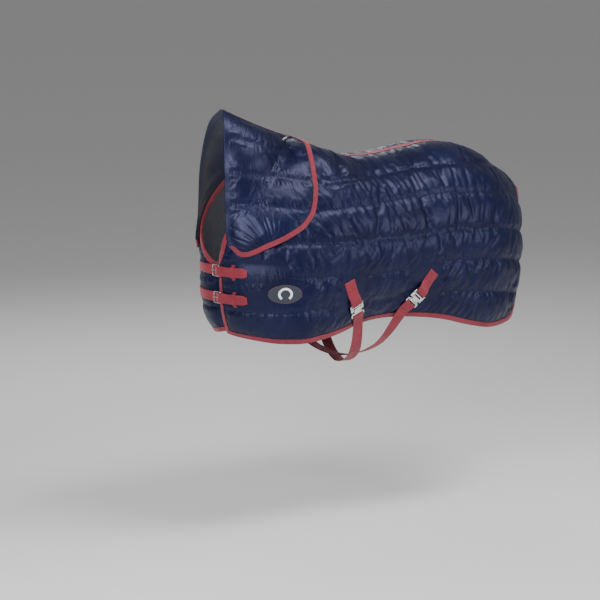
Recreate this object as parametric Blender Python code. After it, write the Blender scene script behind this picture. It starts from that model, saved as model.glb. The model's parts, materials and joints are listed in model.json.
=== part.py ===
"""Quilted horse rug with a fixed neck cover, laid out as it hangs on a standing horse.

The horse faces -X, its near (left) side is -Y and +Z is up.  The origin is on the spine at the withers.
"""
import math

import bpy
import bmesh
from mathutils import Vector
from mathutils.bvhtree import BVHTree

# Overall sizes, in metres.
BACK_LENGTH = 1.17
CHEST_REACH = 0.42
BARREL_HALF_WIDTH = 0.335
SIDE_DROP = 0.80
NECK_RISE = 0.148

# Cloth build, outside to inside.
FACE_CLOTH = 0.0008
LINING_CLOTH = 0.0008
QUILT_FIELD = 0.012
QUILT_EDGE = 0.0042
QUILT_MARGIN = 0.0065
LAYER_GAP = 0.0004
FRONT_OVERLAP_DROP = 0.017

# Binding tape and webbing.
BINDING_LEG = 0.020
BINDING_TAPE = 0.0010
BINDING_GAP = 0.0009
CHEST_WEBBING_WIDTH = 0.040
BELLY_WEBBING_WIDTH = 0.050
WEBBING = 0.0016
SEWN_GAP = 0.0008
CHEST_SEWN_GAP = 0.0017

# Chest buckles.
CHEST_STRAP_HEIGHTS = (-0.503, -0.615)
BUCKLE_LENGTH = 0.042
BUCKLE_HALF_WIDTH = 0.0231
BUCKLE_BAR = 0.0021
BUCKLE_CORNER = 0.0034
BUCKLE_HEIGHT = 0.0072
BUCKLE_HEEL = 0.040
TONGUE_HALF_WIDTH = 0.0020
TONGUE_SLOT_HALF = 0.0036
BILLET_START = -0.190
BILLET_END = 0.170
CHAPE_END = 0.150
KEEPER_PLACE = 0.118
KEEPER_HALF_WIDTH = 0.007
KEEPER_BAND = 0.0010

# Surcingle fittings, measured down the strap from the bar of the plate.
FITTING_SHEET = 0.0024
FITTING_HEIGHT = 0.0065
FITTING_HALF_WIDTH = 0.033
FITTING_SLOT_HALF = 0.027
PLATE_LENGTH = 0.036
HOOK_HALF_WIDTH = 0.017
HOOK_BAR = 0.059
PATCH_LENGTH = 0.105
BELLY_FOLD_END = 0.092
BELLY_DEPTH = 0.925
BELLY_CROSSING = 0.022

# Badge.
BADGE_LENGTH = 0.140
BADGE_HEIGHT = 0.078
BADGE_PATCH = 0.0012
BADGE_GAP = 0.0011
BADGE_MOTIF = 0.0012

NEAR = -1
OFF = 1

# Sizes at which the stations below were laid out.
LAYOUT_BACK = 1.17
LAYOUT_REACH = 0.42
LAYOUT_HALF = 0.335
LAYOUT_DROP = 0.80

# Stations round one side from the middle of the chest to the tail.
# Each gives the top edge, the widest level and the hem (x, y, z), the roundness of the upper curve
# and the slope in degrees at which it leaves the top edge.
STATIONS = (
    ((-0.417, 0.000, -0.477), (-0.425, 0.000, -0.600), (-0.386, 0.000, -0.767), 1.2, 40.0),
    ((-0.440, 0.055, -0.430), (-0.422, 0.090, -0.600), (-0.374, 0.070, -0.775), 1.2, 40.0),
    ((-0.438, 0.090, -0.345), (-0.387, 0.168, -0.580), (-0.336, 0.140, -0.785), 1.3, 35.0),
    ((-0.372, 0.132, -0.250), (-0.313, 0.238, -0.560), (-0.272, 0.222, -0.795), 1.4, 30.0),
    ((-0.275, 0.132, -0.148), (-0.208, 0.292, -0.530), (-0.180, 0.282, -0.795), 1.5, 25.0),
    ((-0.165, 0.082, -0.052), (-0.085, 0.310, -0.500), (-0.065, 0.278, -0.785), 1.7, 15.0),
    ((-0.070, 0.000, -0.002), (0.010, 0.320, -0.485), (0.035, 0.263, -0.768), 2.0, 0.0),
    ((0.060, 0.000, -0.034), (0.120, 0.330, -0.475), (0.135, 0.238, -0.748), 2.1, 0.0),
    ((0.200, 0.000, -0.078), (0.240, 0.335, -0.470), (0.250, 0.243, -0.736), 2.1, 0.0),
    ((0.360, 0.000, -0.083), (0.380, 0.335, -0.470), (0.380, 0.270, -0.741), 2.1, 0.0),
    ((0.520, 0.000, -0.065), (0.520, 0.332, -0.465), (0.520, 0.292, -0.762), 2.1, 0.0),
    ((0.680, 0.000, -0.052), (0.665, 0.326, -0.450), (0.660, 0.291, -0.800), 2.1, 0.0),
    ((0.840, 0.000, -0.086), (0.805, 0.312, -0.440), (0.785, 0.278, -0.826), 2.1, 0.0),
    ((0.990, 0.000, -0.161), (0.930, 0.272, -0.450), (0.890, 0.248, -0.824), 2.0, 0.0),
    ((1.095, 0.000, -0.233), (1.020, 0.205, -0.480), (0.952, 0.225, -0.808), 1.9, 0.0),
    ((1.168, 0.000, -0.292), (1.078, 0.122, -0.490), (0.988, 0.205, -0.765), 1.7, 0.0),
)
WIDEST_AT = 0.62
TAIL = 15.0
WITHERS = 6.0
NECKLINE_TAPE_END = 5.5

SCENE_LIST = bpy.context.scene.collection


def clear_scene():
    for item in list(bpy.data.objects):
        bpy.data.objects.remove(item, do_unlink=True)


def material(name, colour, roughness, metallic=0.0):
    made = bpy.data.materials.new(name)
    made.use_nodes = True
    shader = made.node_tree.nodes["Principled BSDF"]
    shader.inputs["Base Color"].default_value = (*colour, 1.0)
    shader.inputs["Roughness"].default_value = roughness
    shader.inputs["Metallic"].default_value = metallic
    return made


def add_object(name, points, faces, surface, origin=(0.0, 0.0, 0.0)):
    """One closed body named after its piece, with its origin where the piece turns or slides."""
    base = Vector(origin)
    mesh = bpy.data.meshes.new(name)
    mesh.from_pydata([Vector(p) - base for p in points], [], faces)
    body = bmesh.new()
    body.from_mesh(mesh)
    loose = [v for v in body.verts if not v.link_faces]
    bmesh.ops.delete(body, geom=loose, context="VERTS")
    bmesh.ops.recalc_face_normals(body, faces=body.faces)
    if body.calc_volume(signed=True) < 0.0:
        bmesh.ops.reverse_faces(body, faces=body.faces)
    body.to_mesh(mesh)
    body.free()
    mesh.materials.append(surface)
    made = bpy.data.objects.new(name, mesh)
    made.location = base
    SCENE_LIST.objects.link(made)
    return made


def never(i, j):
    return False


def sheet_faces(rows, cols, open_cells=(), crossed=never):
    """Triangles of a closed sheet: two grids of rows x cols points, joined round every open rim.

    crossed(i, j) is true for the cells whose diagonal runs the other way.
    """
    shift = rows * cols
    cells = {(i, j) for i in range(rows - 1) for j in range(cols - 1)} - set(open_cells)
    faces = []
    for i, j in sorted(cells):
        for k in (0, shift):
            a = k + i * cols + j
            b = a + 1
            c = a + cols
            d = c + 1
            faces += [(a, b, c), (b, d, c)] if crossed(i, j) else [(a, b, d), (a, d, c)]
        rims = (
            ((i - 1, j), (i, j), (i, j + 1)),
            ((i + 1, j), (i + 1, j), (i + 1, j + 1)),
            ((i, j - 1), (i, j), (i + 1, j)),
            ((i, j + 1), (i, j + 1), (i + 1, j + 1)),
        )
        for neighbour, first, second in rims:
            if neighbour in cells:
                continue
            a = first[0] * cols + first[1]
            b = second[0] * cols + second[1]
            faces += [(a, b, b + shift), (a, b + shift, a + shift)]
    return faces


def add_sheet(name, top, bottom, surface, open_cells=(), origin=(0.0, 0.0, 0.0), crossed=never):
    points = [p for row in top for p in row] + [p for row in bottom for p in row]
    faces = sheet_faces(len(top), len(top[0]), open_cells, crossed)
    return add_object(name, points, faces, surface, origin)


def add_ring(name, rings, surface, origin, closed=True):
    """A bar swept through a list of equal rings of points, joined end to end or capped."""
    count = len(rings[0])
    points = [p for ring in rings for p in ring]
    faces = []
    last = len(rings) if closed else len(rings) - 1
    for i in range(last):
        after = (i + 1) % len(rings)
        for j in range(count):
            k = (j + 1) % count
            a = i * count + j
            b = i * count + k
            c = after * count + k
            d = after * count + j
            faces += [(a, b, c), (a, c, d)]
    if not closed:
        faces.append(tuple(range(count)))
        faces.append(tuple((len(rings) - 1) * count + j for j in range(count)))
    return add_object(name, points, faces, surface, origin)


# ---------------------------------------------------------------- shape of the rug on the horse

def smooth(low, high, value):
    t = min(1.0, max(0.0, (value - low) / (high - low)))
    return t * t * (3.0 - 2.0 * t)


def sized(point):
    x, y, z = point
    along = BACK_LENGTH / LAYOUT_BACK if x > 0.0 else CHEST_REACH / LAYOUT_REACH
    return (x * along, y * BARREL_HALF_WIDTH / LAYOUT_HALF, z * SIDE_DROP / LAYOUT_DROP)


def station(index):
    """Flat list of one station; stations before the chest middle mirror those behind it."""
    last = len(STATIONS) - 1
    if index > last:
        near_end = station(last)
        before = station(last - 1)
        return [2.0 * a - b for a, b in zip(near_end, before)]
    top, wide, hem, roundness, slope = STATIONS[abs(index)]
    flat = [*sized(top), *sized(wide), *sized(hem), roundness, slope]
    if index < 0:
        for k in (1, 4, 7):
            flat[k] = -flat[k]
    return flat


def curve_through(values, t):
    """Smooth curve through four equally spaced values, between the middle two."""
    a, b, c, d = values
    return 0.5 * (2.0 * b + (c - a) * t + (2.0 * a - 5.0 * b + 4.0 * c - d) * t * t
                  + (3.0 * b - a - 3.0 * c + d) * t * t * t)


def form(u, v):
    """Outer face of the rug: u runs chest (0) to tail (15), v runs top edge (0) to hem (1)."""
    base = math.floor(u)
    if base >= TAIL:
        base = int(TAIL) - 1
    rows = [station(base + k) for k in (-1, 0, 1, 2)]
    row = [curve_through(values, u - base) for values in zip(*rows)]
    top = Vector(row[0:3])
    wide = Vector(row[3:6])
    hem = Vector(row[6:9])
    power = 2.0 / row[9]
    if v <= WIDEST_AT:
        first = math.radians(max(row[10], 0.0))
        angle = first + (0.5 * math.pi - first) * max(v, 0.0) / WIDEST_AT
        begun = math.sin(first) ** power
        out = (math.sin(angle) ** power - begun) / (1.0 - begun)
        down = (max(math.cos(angle), 0.0) / math.cos(first)) ** power
        return Vector((top.x + (wide.x - top.x) * out, top.y + (wide.y - top.y) * out,
                       wide.z + (top.z - wide.z) * down))
    t = (v - WIDEST_AT) / (1.0 - WIDEST_AT)
    return Vector((wide.x + (hem.x - wide.x) * t * t, wide.y + (hem.y - wide.y) * t * t,
                   wide.z + (hem.z - wide.z) * t))


def form_normal(u, v):
    step = 0.02
    u = min(u, TAIL - 0.25)
    v = min(v, 0.96)
    low = max(v - step, 0.0)
    high = v + step
    across = form(u, high) - form(u, low)
    along = form(u + step, v) - form(u - step, v)
    found = along.cross(across)
    if found.length < 1e-9:
        return Vector((0.0, 0.0, 1.0))
    return found.normalized()


def flip(point, side):
    """The shape is worked out with y positive; the near side is its mirror image."""
    return Vector((point.x, point.y * side, point.z))


def tuck(u):
    """How far the off front edge drops inside so the near edge can lie over it."""
    return FRONT_OVERLAP_DROP * (1.0 - smooth(-0.28, 0.55, u))


BODY_ROWS = 10
SPINE_HALF_GAP = 0.0002
NEAR_CHEST_COLUMNS = (0.35, 0.57, 0.8, 1.0, 1.5)
OFF_CHEST_COLUMNS = (-1.0, -0.78, -0.45, -0.1, 0.25, 0.6, 1.0, 1.5)
SHOULDER_COLUMNS = (2.0, 2.5, 3.0, 3.5, 4.0, 4.5, 5.0, 5.5, 6.0)
BACK_COLUMNS = (6.5, 7.0, 8.0, 9.0, 10.0, 11.0, 12.0, 13.0, 14.0, 14.74, 15.0)
BODY_PLACES = {}


def body_columns(side):
    chest = NEAR_CHEST_COLUMNS if side == NEAR else OFF_CHEST_COLUMNS
    return chest + SHOULDER_COLUMNS + BACK_COLUMNS


def row_places(u):
    """Rows of a column: both outer ones one binding width from their edge, the rest even."""
    points = [form(u, k / 24.0) for k in range(25)]
    drop = sum((b - a).length for a, b in zip(points, points[1:]))
    margin = BINDING_LEG / drop
    steps = BODY_ROWS - 3
    inner = [margin + (1.0 - 2.0 * margin) * k / steps for k in range(steps + 1)]
    return [0.0, *inner, 1.0]


def place_near(target, u, v):
    """Place (u, v) on the form closest to a point, starting from a place beside it."""
    step = 0.01
    for _ in range(8):
        miss = target - form(u, v)
        along = (form(u + step, v) - form(u - step, v)) / (2.0 * step)
        across = (form(u, v + step) - form(u, v - step)) / (2.0 * step)
        aa, bb, ab = along.dot(along), across.dot(across), along.dot(across)
        ma, mb = miss.dot(along), miss.dot(across)
        scale = 1.0 / (aa * bb - ab * ab)
        u += (ma * bb - mb * ab) * scale
        v = min(0.99, max(0.01, v + (mb * aa - ma * ab) * scale))
    return u, v


def inside_rim(before, here, after):
    """Place one binding width inside the rim of the body cloth, square to both its sides."""
    point = form(*here)
    normal = form_normal(*here)
    first = normal.cross(point - form(*before)).normalized()
    second = normal.cross(form(*after) - point).normalized()
    inward = (first + second) / (1.0 + first.dot(second))
    return place_near(point + inward * BINDING_LEG, *here)


def body_places(side):
    """Places (u, v) of the body grid; the ring next to the rim follows the edge of the binding."""
    if side in BODY_PLACES:
        return BODY_PLACES[side]
    grid = [[(u, v) for v in row_places(u)] for u in body_columns(side)]
    last = len(grid) - 1
    hem = BODY_ROWS - 1
    spine = body_columns(side).index(WITHERS)
    loop = [(i, 0) for i in range(last)] + [(last, j) for j in range(hem)]
    loop += [(i, hem) for i in range(last, 0, -1)] + [(0, j) for j in range(hem, 0, -1)]
    found = {}
    for k, (i, j) in enumerate(loop):
        on_spine = j == 0 and spine <= i < last
        beside_corner = (i in (1, last - 1) and j in (0, hem)) or (j in (1, hem - 1))
        if on_spine or beside_corner:
            continue
        ends = (loop[k - 1], loop[(k + 1) % len(loop)])
        before, after = (grid[a][b] for a, b in ends)
        inner = (min(max(i, 1), last - 1), min(max(j, 1), hem - 1))
        found[inner] = inside_rim(before, grid[i][j], after)
    for (i, j), place in found.items():
        grid[i][j] = place
    BODY_PLACES[side] = grid
    return grid


def body_point(side, u, v, depth):
    """Point of the body cloth, depth inside its outer face."""
    drop = depth + (tuck(u) if side == OFF else 0.0)
    place = form(u, v)
    if u >= WITHERS and v < 1e-6:
        place.y = SPINE_HALF_GAP
    normal = form_normal(u, v)
    if u >= WITHERS and v < 1e-6:
        normal = Vector((normal.x, 0.0, normal.z)).normalized()
    return flip(place - normal * drop, side)


def body_grid(side, depth_at):
    places = body_places(side)
    last_i = len(places) - 1
    last_j = BODY_ROWS - 1
    grid = []
    for i, column in enumerate(places):
        line = []
        for j, (u, v) in enumerate(column):
            rim = i in (0, last_i) or j in (0, last_j)
            margin = i in (1, last_i - 1) or j in (1, last_j - 1)
            thick = QUILT_EDGE if rim else QUILT_MARGIN if margin else QUILT_FIELD
            line.append(body_point(side, u, v, depth_at(thick)))
        grid.append(line)
    return grid


def layer_depths():
    """Outer and inner depth of each cloth layer for a given quilt thickness."""
    return {
        "outer_shell": (lambda t: 0.0, lambda t: FACE_CLOTH),
        "wadding": (lambda t: FACE_CLOTH + LAYER_GAP, lambda t: t - LINING_CLOTH - LAYER_GAP),
        "lining": (lambda t: t - LINING_CLOTH, lambda t: t),
    }


def rim_crossed(last):
    """Diagonals along the front and tail rims, turned to match the folded binding."""
    return lambda i, j: (i == 0 and j > 0) or (i == last and j < BODY_ROWS - 2)


def make_body_panels(surfaces):
    made = {}
    for side, label in ((NEAR, "near"), (OFF, "off")):
        for layer, (top_depth, low_depth) in layer_depths().items():
            top = body_grid(side, top_depth)
            low = body_grid(side, low_depth)
            name = f"{label}_{layer}"
            made[name] = add_sheet(name, top, low, surfaces[layer], crossed=rim_crossed(len(top) - 2))
    return made


# ---------------------------------------------------------------- neck cover

NECK_ROWS = (0.0, 0.074, 0.36, 0.68, 1.0)
NECK_SEAM_ROW = 4
WITHERS_COLUMN = 6
FLAP_ROWS = 5
FLAP_FIRST_ROW = 0.015
NECK_LIFT = 0.0085
NECK_EDGE_RISE = 0.0150
NECK_SEAM_TURN = 1.5
FLAP_START_RISE = 0.0105
CREST_HALF_GAP = 0.0006
NECK_SEAM_COLUMNS = (2.0, 2.5, 3.0, 3.5, 4.0, 4.5, 5.0, 5.5, 5.75)
NECK_CREST_REACH = (0.386, 0.335, 0.285, 0.235, 0.185, 0.140, 0.100, 0.065, 0.042)
NECK_LOWER_EDGE = ((1.97, 0.115), (2.20, 0.230), (2.61, 0.278), (3.20, 0.303), (3.70, 0.325),
                   (4.10, 0.338), (4.45, 0.348), (4.75, 0.344), (4.93, 0.335))
NECK_REAR_EDGE = ((6.40, 0.0), (6.39, 0.016), (6.37, 0.035), (6.34, 0.062), (6.28, 0.095),
                  (6.16, 0.125), (5.93, 0.176), (5.64, 0.235), (5.38, 0.282), (5.12, 0.315))
NECK_BASE_RISE = 0.012


def crest_point(reach):
    """Top line of the neck, from the withers forward."""
    t = (reach - 0.018) / (NECK_CREST_REACH[0] - 0.018)
    height = NECK_BASE_RISE + (NECK_RISE - NECK_BASE_RISE) * t ** 1.25
    return Vector((-reach * CHEST_REACH / LAYOUT_REACH, CREST_HALF_GAP, height))


def neckline_seat():
    """Height of the neck cover's outer face where it is sewn down over the neckline binding."""
    return BINDING_GAP + BINDING_TAPE + 1.5 * LAYER_GAP + QUILT_EDGE


def flap_point(u, v, rise):
    normal = form_normal(u, v)
    place = form(u, v)
    if u >= WITHERS and v < 1e-6:
        place.y = CREST_HALF_GAP
        normal = Vector((normal.x, 0.0, normal.z)).normalized()
    return place + normal * rise, normal


def neck_column(k):
    """One line of the neck cover from the crest, over the neckline seam, to its loose edge.

    Each entry is a point and, where the cover lies over the rug, the rug's own normal there.
    """
    field_rise = NECK_LIFT + QUILT_FIELD
    if k == len(NECK_SEAM_COLUMNS):
        return [flap_point(u, v, NECK_EDGE_RISE) for u, v in NECK_REAR_EDGE]
    u = NECK_SEAM_COLUMNS[k]
    crest = crest_point(NECK_CREST_REACH[k])
    seam_rise = neckline_seat() if u <= NECKLINE_TAPE_END else 0.8 * NECK_EDGE_RISE
    seam, seam_normal = flap_point(u, 0.0, seam_rise)
    places = []
    for place in NECK_ROWS[:-1]:
        angle = 0.5 * math.pi * place
        out = math.sin(angle) ** 0.85
        down = math.cos(angle) ** 0.85
        point = Vector((crest.x + (seam.x - crest.x) * out, crest.y + (seam.y - crest.y) * out,
                        seam.z + (crest.z - seam.z) * down))
        places.append((point, None))
    places.append((seam, seam_normal))
    end_u, end_v = NECK_LOWER_EDGE[k]
    rises = [max(FLAP_START_RISE, seam_rise)] + [field_rise] * (FLAP_ROWS - 2)
    rises.append(NECK_EDGE_RISE)
    width = (form(end_u, end_v) - form(u, 0.0)).length
    first = min(0.35, max(0.10, FLAP_FIRST_ROW / width))
    for row, rise in enumerate(rises):
        share = first + (1.0 - first) * row / (FLAP_ROWS - 1)
        places.append(flap_point(u + (end_u - u) * share, end_v * share, rise))
    return places


def inside_edge(edge, inner):
    """Point one binding width in from an edge, or most of the way where the panel is narrow."""
    span = (inner[0] - edge[0]).length
    share = min(BINDING_LEG / span, 0.75)
    known = edge[1] is not None and inner[1] is not None
    return edge[0].lerp(inner[0], share), edge[1].lerp(inner[1], share).normalized() if known else None


def neck_surface():
    """Grid of the outer face of the neck cover with its outward normals."""
    table = [neck_column(k) for k in range(len(NECK_SEAM_COLUMNS) + 1)]
    for column in table:
        column.insert(-1, inside_edge(column[-1], column[-2]))
    table.insert(-1, [inside_edge(a, b) for a, b in zip(table[-1], table[-2])])
    grid = [[place for place, _ in column] for column in table]
    count = len(grid)
    rows = len(grid[0])
    normals = []
    for k in range(count):
        line = []
        for j in range(rows):
            along = grid[min(k + 1, count - 1)][j] - grid[max(k - 1, 0)][j]
            across = grid[k][min(j + 1, rows - 1)] - grid[k][max(j - 1, 0)]
            normal = along.cross(across).normalized()
            if j == 0:
                normal = Vector((normal.x, 0.0, normal.z)).normalized()
            given = table[k][j][1]
            if given and j == NECK_SEAM_ROW:
                given = (given + line[-1] * NECK_SEAM_TURN).normalized()
            line.append(given or normal)
        normals.append(line)
    return grid, normals


def neck_grid(side, depth_at):
    grid, normals = neck_surface()
    last_k = len(grid) - 1
    last_j = len(grid[0]) - 1
    out = []
    for k, line in enumerate(grid):
        made = []
        for j, place in enumerate(line):
            rim = k in (0, last_k) or j in (0, NECK_SEAM_ROW, last_j)
            at_withers = k >= WITHERS_COLUMN and j <= NECK_SEAM_ROW
            margin = k == last_k - 1 or j in (1, NECK_SEAM_ROW + 1, last_j - 1)
            thin = rim or at_withers
            depth = depth_at(QUILT_EDGE if thin else QUILT_MARGIN if margin else QUILT_FIELD)
            made.append(flip(place - normals[k][j] * depth, side))
        out.append(made)
    return out


def make_neck_cover(surfaces):
    for side, label in ((NEAR, "near"), (OFF, "off")):
        for layer, (top_depth, low_depth) in layer_depths().items():
            top = neck_grid(side, top_depth)
            low = neck_grid(side, low_depth)
            edge = len(top[0]) - 2
            add_sheet(f"{label}_neck_{layer}", top, low, surfaces[layer],
                      crossed=lambda i, j, edge=edge: j == edge and i < len(top) - 2)


# ---------------------------------------------------------------- binding tapes

FOLD_MITRE_LIMIT = 0.6


def unit(vector):
    return vector.normalized()


def fold_section(rim, inner, beside):
    """Outer and inner points of a tape folded over the rim of a quilted panel.

    rim and inner are (face point, back point) on the edge and one binding width inside it,
    beside the neighbouring face points along the rim.
    """
    face, back = rim
    face_in, back_in = inner
    up = unit(face - back)
    up_in = unit(face_in - back_in)
    sides = []
    for way in beside:
        if (way - face).length > 0.0:
            across = unit(up.cross(way - face))
            sides.append(across if across.dot(face - face_in) > 0.0 else -across)
    edge = unit(sides[0] + sides[-1])
    edge /= max(FOLD_MITRE_LIMIT, edge.dot(sides[0]))
    rows = []
    for gap in (BINDING_GAP + BINDING_TAPE, BINDING_GAP):
        rows.append([face_in + up_in * gap, face + (up + edge) * gap, back + (edge - up) * gap,
                     back_in - up_in * gap])
    return rows


def fold_binding(name, face, back, path, surface):
    """Tape along a list of rim cells (i, j) and their inner neighbours (a, b) of a panel."""
    top = []
    bottom = []
    rims = [face[i][j] for (i, j), _ in path]
    for k, ((i, j), (a, b)) in enumerate(path):
        beside = (rims[max(k - 1, 0)], rims[min(k + 1, len(rims) - 1)])
        high, low = fold_section((face[i][j], back[i][j]), (face[a][b], back[a][b]), beside)
        top.append(high)
        bottom.append(low)
    return add_sheet(name, top, bottom, surface, crossed=lambda i, j: j == 2)


def make_body_bindings(surface):
    for side, label in ((NEAR, "near"), (OFF, "off")):
        face = body_grid(side, lambda t: 0.0)
        back = body_grid(side, lambda t: t)
        columns = body_columns(side)
        last = len(columns) - 1
        hem = BODY_ROWS - 1
        start = columns.index(NECKLINE_TAPE_END)
        path = [((i, 0), (i, 1)) for i in range(start, 0, -1)]
        path += [((0, 0), (1, 1))]
        path += [((0, j), (1, j)) for j in range(1, hem)]
        path += [((0, hem), (1, hem - 1))]
        path += [((i, hem), (i, hem - 1)) for i in range(1, last)]
        path += [((last, hem), (last - 1, hem - 1))]
        path += [((last, j), (last - 1, j)) for j in range(hem - 1, -1, -1)]
        fold_binding(f"{label}_edge_binding", face, back, path, surface)


def make_neck_bindings(surface):
    for side, label in ((NEAR, "near"), (OFF, "off")):
        face = neck_grid(side, lambda t: 0.0)
        back = neck_grid(side, lambda t: t)
        last = len(face) - 1
        low = len(face[0]) - 1
        path = [((last, j), (last - 1, j)) for j in range(low)]
        path += [((last, low), (last - 1, low - 1))]
        path += [((k, low), (k, low - 1)) for k in range(last - 1, -1, -1)]
        fold_binding(f"{label}_neck_binding", face, back, path, surface)


def ridge_tape(name, near, off, surface):
    """Tape over a seam on the middle line; near and off list (seam point, point one row down)."""
    top = []
    bottom = []
    last = len(near) - 1
    for k in range(last + 1):
        along = near[min(k + 1, last)][0] - near[max(k - 1, 0)][0]
        normal = unit(Vector((-along.z, 0.0, along.x)))
        row = (near[k][1], (near[k][0] + off[k][0]) * 0.5, off[k][1])
        bottom.append([p + normal * BINDING_GAP for p in row])
        top.append([p + normal * (BINDING_GAP + BINDING_TAPE) for p in row])
    return add_sheet(name, top, bottom, surface)


def ridge_rows(face):
    """Seam rows of a panel grid, stopped short of the binding on its rear edge."""
    rows = [(line[0], line[1]) for line in face[:-1]]
    before, last = face[-2], face[-1]
    span = (last[0] - before[0]).length
    if span > BINDING_LEG * 1.5:
        share = 1.0 - (BINDING_LEG + 0.003) / span
        rows.append((before[0].lerp(last[0], share), before[1].lerp(last[1], share)))
        return rows
    before, last = face[-3], face[-2]
    share = 1.0 - 0.003 / (last[0] - before[0]).length
    rows[-1] = (before[0].lerp(last[0], share), before[1].lerp(last[1], share))
    return rows


def make_ridge_tapes(spine_surface, crest_surface):
    spine = []
    crest = []
    for side in (NEAR, OFF):
        face = body_grid(side, lambda t: 0.0)
        start = body_columns(side).index(WITHERS)
        spine.append(ridge_rows(face[start:]))
        crest.append(ridge_rows(neck_grid(side, lambda t: 0.0)))
    ridge_tape("spine_binding", *spine, spine_surface)
    ridge_tape("neck_crest_tape", *crest, crest_surface)


# ---------------------------------------------------------------- laying straps on the rug

class Bed:
    """The outer shells as one surface that straps and patches are laid on."""

    def __init__(self, *shells):
        points = []
        faces = []
        for shell in shells:
            start = len(points)
            points += [v.co.copy() for v in shell.data.vertices]
            faces += [[start + k for k in p.vertices] for p in shell.data.polygons]
        self.tree = BVHTree.FromPolygons(points, faces)

    def drop(self, place, out):
        hit, normal, _, _ = self.tree.ray_cast(place + out * 0.12, -out, 0.30)
        return hit, normal


class Frame:
    """Local directions of a strap: run along it, out of the rug, side across it."""

    def __init__(self, base, run, out):
        self.base = base
        self.out = unit(out)
        self.run = unit(run - self.out * run.dot(self.out))
        self.side = self.out.cross(self.run)

    def at(self, s, h, l):
        return self.base + self.run * s + self.out * h + self.side * l

    def laid(self, bed, s, h, l, grip):
        flat = self.base + self.run * s + self.side * l
        if grip > 0.0:
            hit, _ = bed.drop(flat, self.out)
            if hit is not None:
                flat = flat.lerp(hit, grip)
        return flat + self.out * h


def path_normals(path):
    """Normals of a strap's middle line in its own (run, out) plane."""
    out = []
    for k in range(len(path)):
        ahead = path[min(k + 1, len(path) - 1)]
        behind = path[max(k - 1, 0)]
        ds = ahead[0] - behind[0]
        dh = ahead[1] - behind[1]
        length = math.hypot(ds, dh)
        out.append((-dh / length, ds / length))
    return out


def plain_grid(frame, path, thickness, across, bed=None, grips=None, widths=None):
    """Top and bottom grids of a strap whose middle line is given as (run, height) pairs."""
    top = []
    bottom = []
    for k, ((s, h), (ns, nh)) in enumerate(zip(path, path_normals(path))):
        thick = thickness[k] if isinstance(thickness, (list, tuple)) else thickness
        grip = grips[k] if grips else 0.0
        spread = widths[k] if widths else 1.0
        high = []
        low = []
        for l in across:
            for sign, row in ((1.0, high), (-1.0, low)):
                ps = s + sign * ns * thick * 0.5
                ph = h + sign * nh * thick * 0.5
                row.append(frame.laid(bed, ps, ph, l * spread, grip))
        top.append(high)
        bottom.append(low)
    return top, bottom


def stepped(start, end, step):
    count = max(1, round(abs(end - start) / step))
    return [start + (end - start) * k / count for k in range(count + 1)]


def arc(centre, radius, start, end, steps):
    """Points (run, height) on a bend, angles in degrees, 0 pointing down the strap."""
    out = []
    for k in range(steps + 1):
        angle = math.radians(start + (end - start) * k / steps)
        out.append((centre[0] + radius * math.cos(angle), centre[1] + radius * math.sin(angle)))
    return out


# ---------------------------------------------------------------- chest straps

def chest_frame(bed, height):
    level = height * SIDE_DROP / LAYOUT_DROP
    ahead = Vector((-1.0, 0.0, 0.0))
    across = (-0.030, -0.045, -0.060, -0.075)
    hits = [bed.drop(Vector((-CHEST_REACH * 1.05, y, level)), ahead)[0] for y in across]
    base = Vector((min(hit.x for hit in hits), 0.0, level))
    return Frame(base, Vector((0.0, -1.0, 0.0)), Vector((-1.0, 0.0, 0.0)))


def chest_grip(s):
    """1 where the strap lies on the cloth, 0 where it bridges the buckle."""
    if s < 0.0:
        return smooth(-0.040, -0.075, s) if s > -0.075 else 1.0
    return smooth(0.055, 0.085, s)


def make_billet(name, frame, bed, surface):
    lie = CHEST_SEWN_GAP + 0.5 * WEBBING
    path = [(s, lie) for s in stepped(BILLET_START, -0.075, 0.0125)]
    path += [(-0.055, lie + 0.0012), (-0.035, 0.0034), (-0.012, 0.0037), (0.006, 0.0037),
             (0.0155, 0.0050), (0.0240, 0.0092), (0.0320, 0.0134), (0.0370, 0.0140),
             (0.0430, 0.0140), (0.0540, 0.0124), (0.0700, 0.0084), (0.0850, 0.0067)]
    path += [(s, 0.0062) for s in stepped(0.0975, BILLET_END - 0.006, 0.0125)]
    path += [(BILLET_END, 0.0060)]
    half = 0.5 * CHEST_WEBBING_WIDTH
    across = (-half, -TONGUE_SLOT_HALF, TONGUE_SLOT_HALF, half)
    widths = [1.0] * (len(path) - 1) + [0.75]
    grips = [chest_grip(s) for s, _ in path]
    top, bottom = plain_grid(frame, path, WEBBING, across, bed, grips, widths)
    slot = [(i, 1) for i, (s, _) in enumerate(path) if 0.015 < s < 0.031]
    return add_sheet(name, top, bottom, surface, slot)


def make_chape(name, frame, bed, surface):
    lie = CHEST_SEWN_GAP + 0.5 * WEBBING
    radius = BUCKLE_BAR + 0.0005 + 0.5 * WEBBING
    centre = (BUCKLE_HEEL, BUCKLE_HEIGHT)
    under = BUCKLE_HEIGHT - radius
    path = [(s, lie) for s in stepped(CHAPE_END, 0.085, 0.0130)]
    path += [(0.068, 0.0028), (0.055, under), (0.047, under)]
    path += arc(centre, radius, -90.0, -270.0, 6)
    path += [(0.047, 0.0100), (0.056, 0.0080), (0.070, 0.0054), (0.085, 0.0040), (0.100, 0.0038)]
    half = 0.5 * CHEST_WEBBING_WIDTH
    across = (-half, -TONGUE_SLOT_HALF, TONGUE_SLOT_HALF, half)
    grips = [chest_grip(s) for s, _ in path]
    top, bottom = plain_grid(frame, path, WEBBING, across, bed, grips)
    bend = [i for i, (s, _) in enumerate(path) if s < 0.048]
    slot = [(i, 1) for i in range(min(bend), max(bend))]
    return add_sheet(name, top, bottom, surface, slot)


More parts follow.
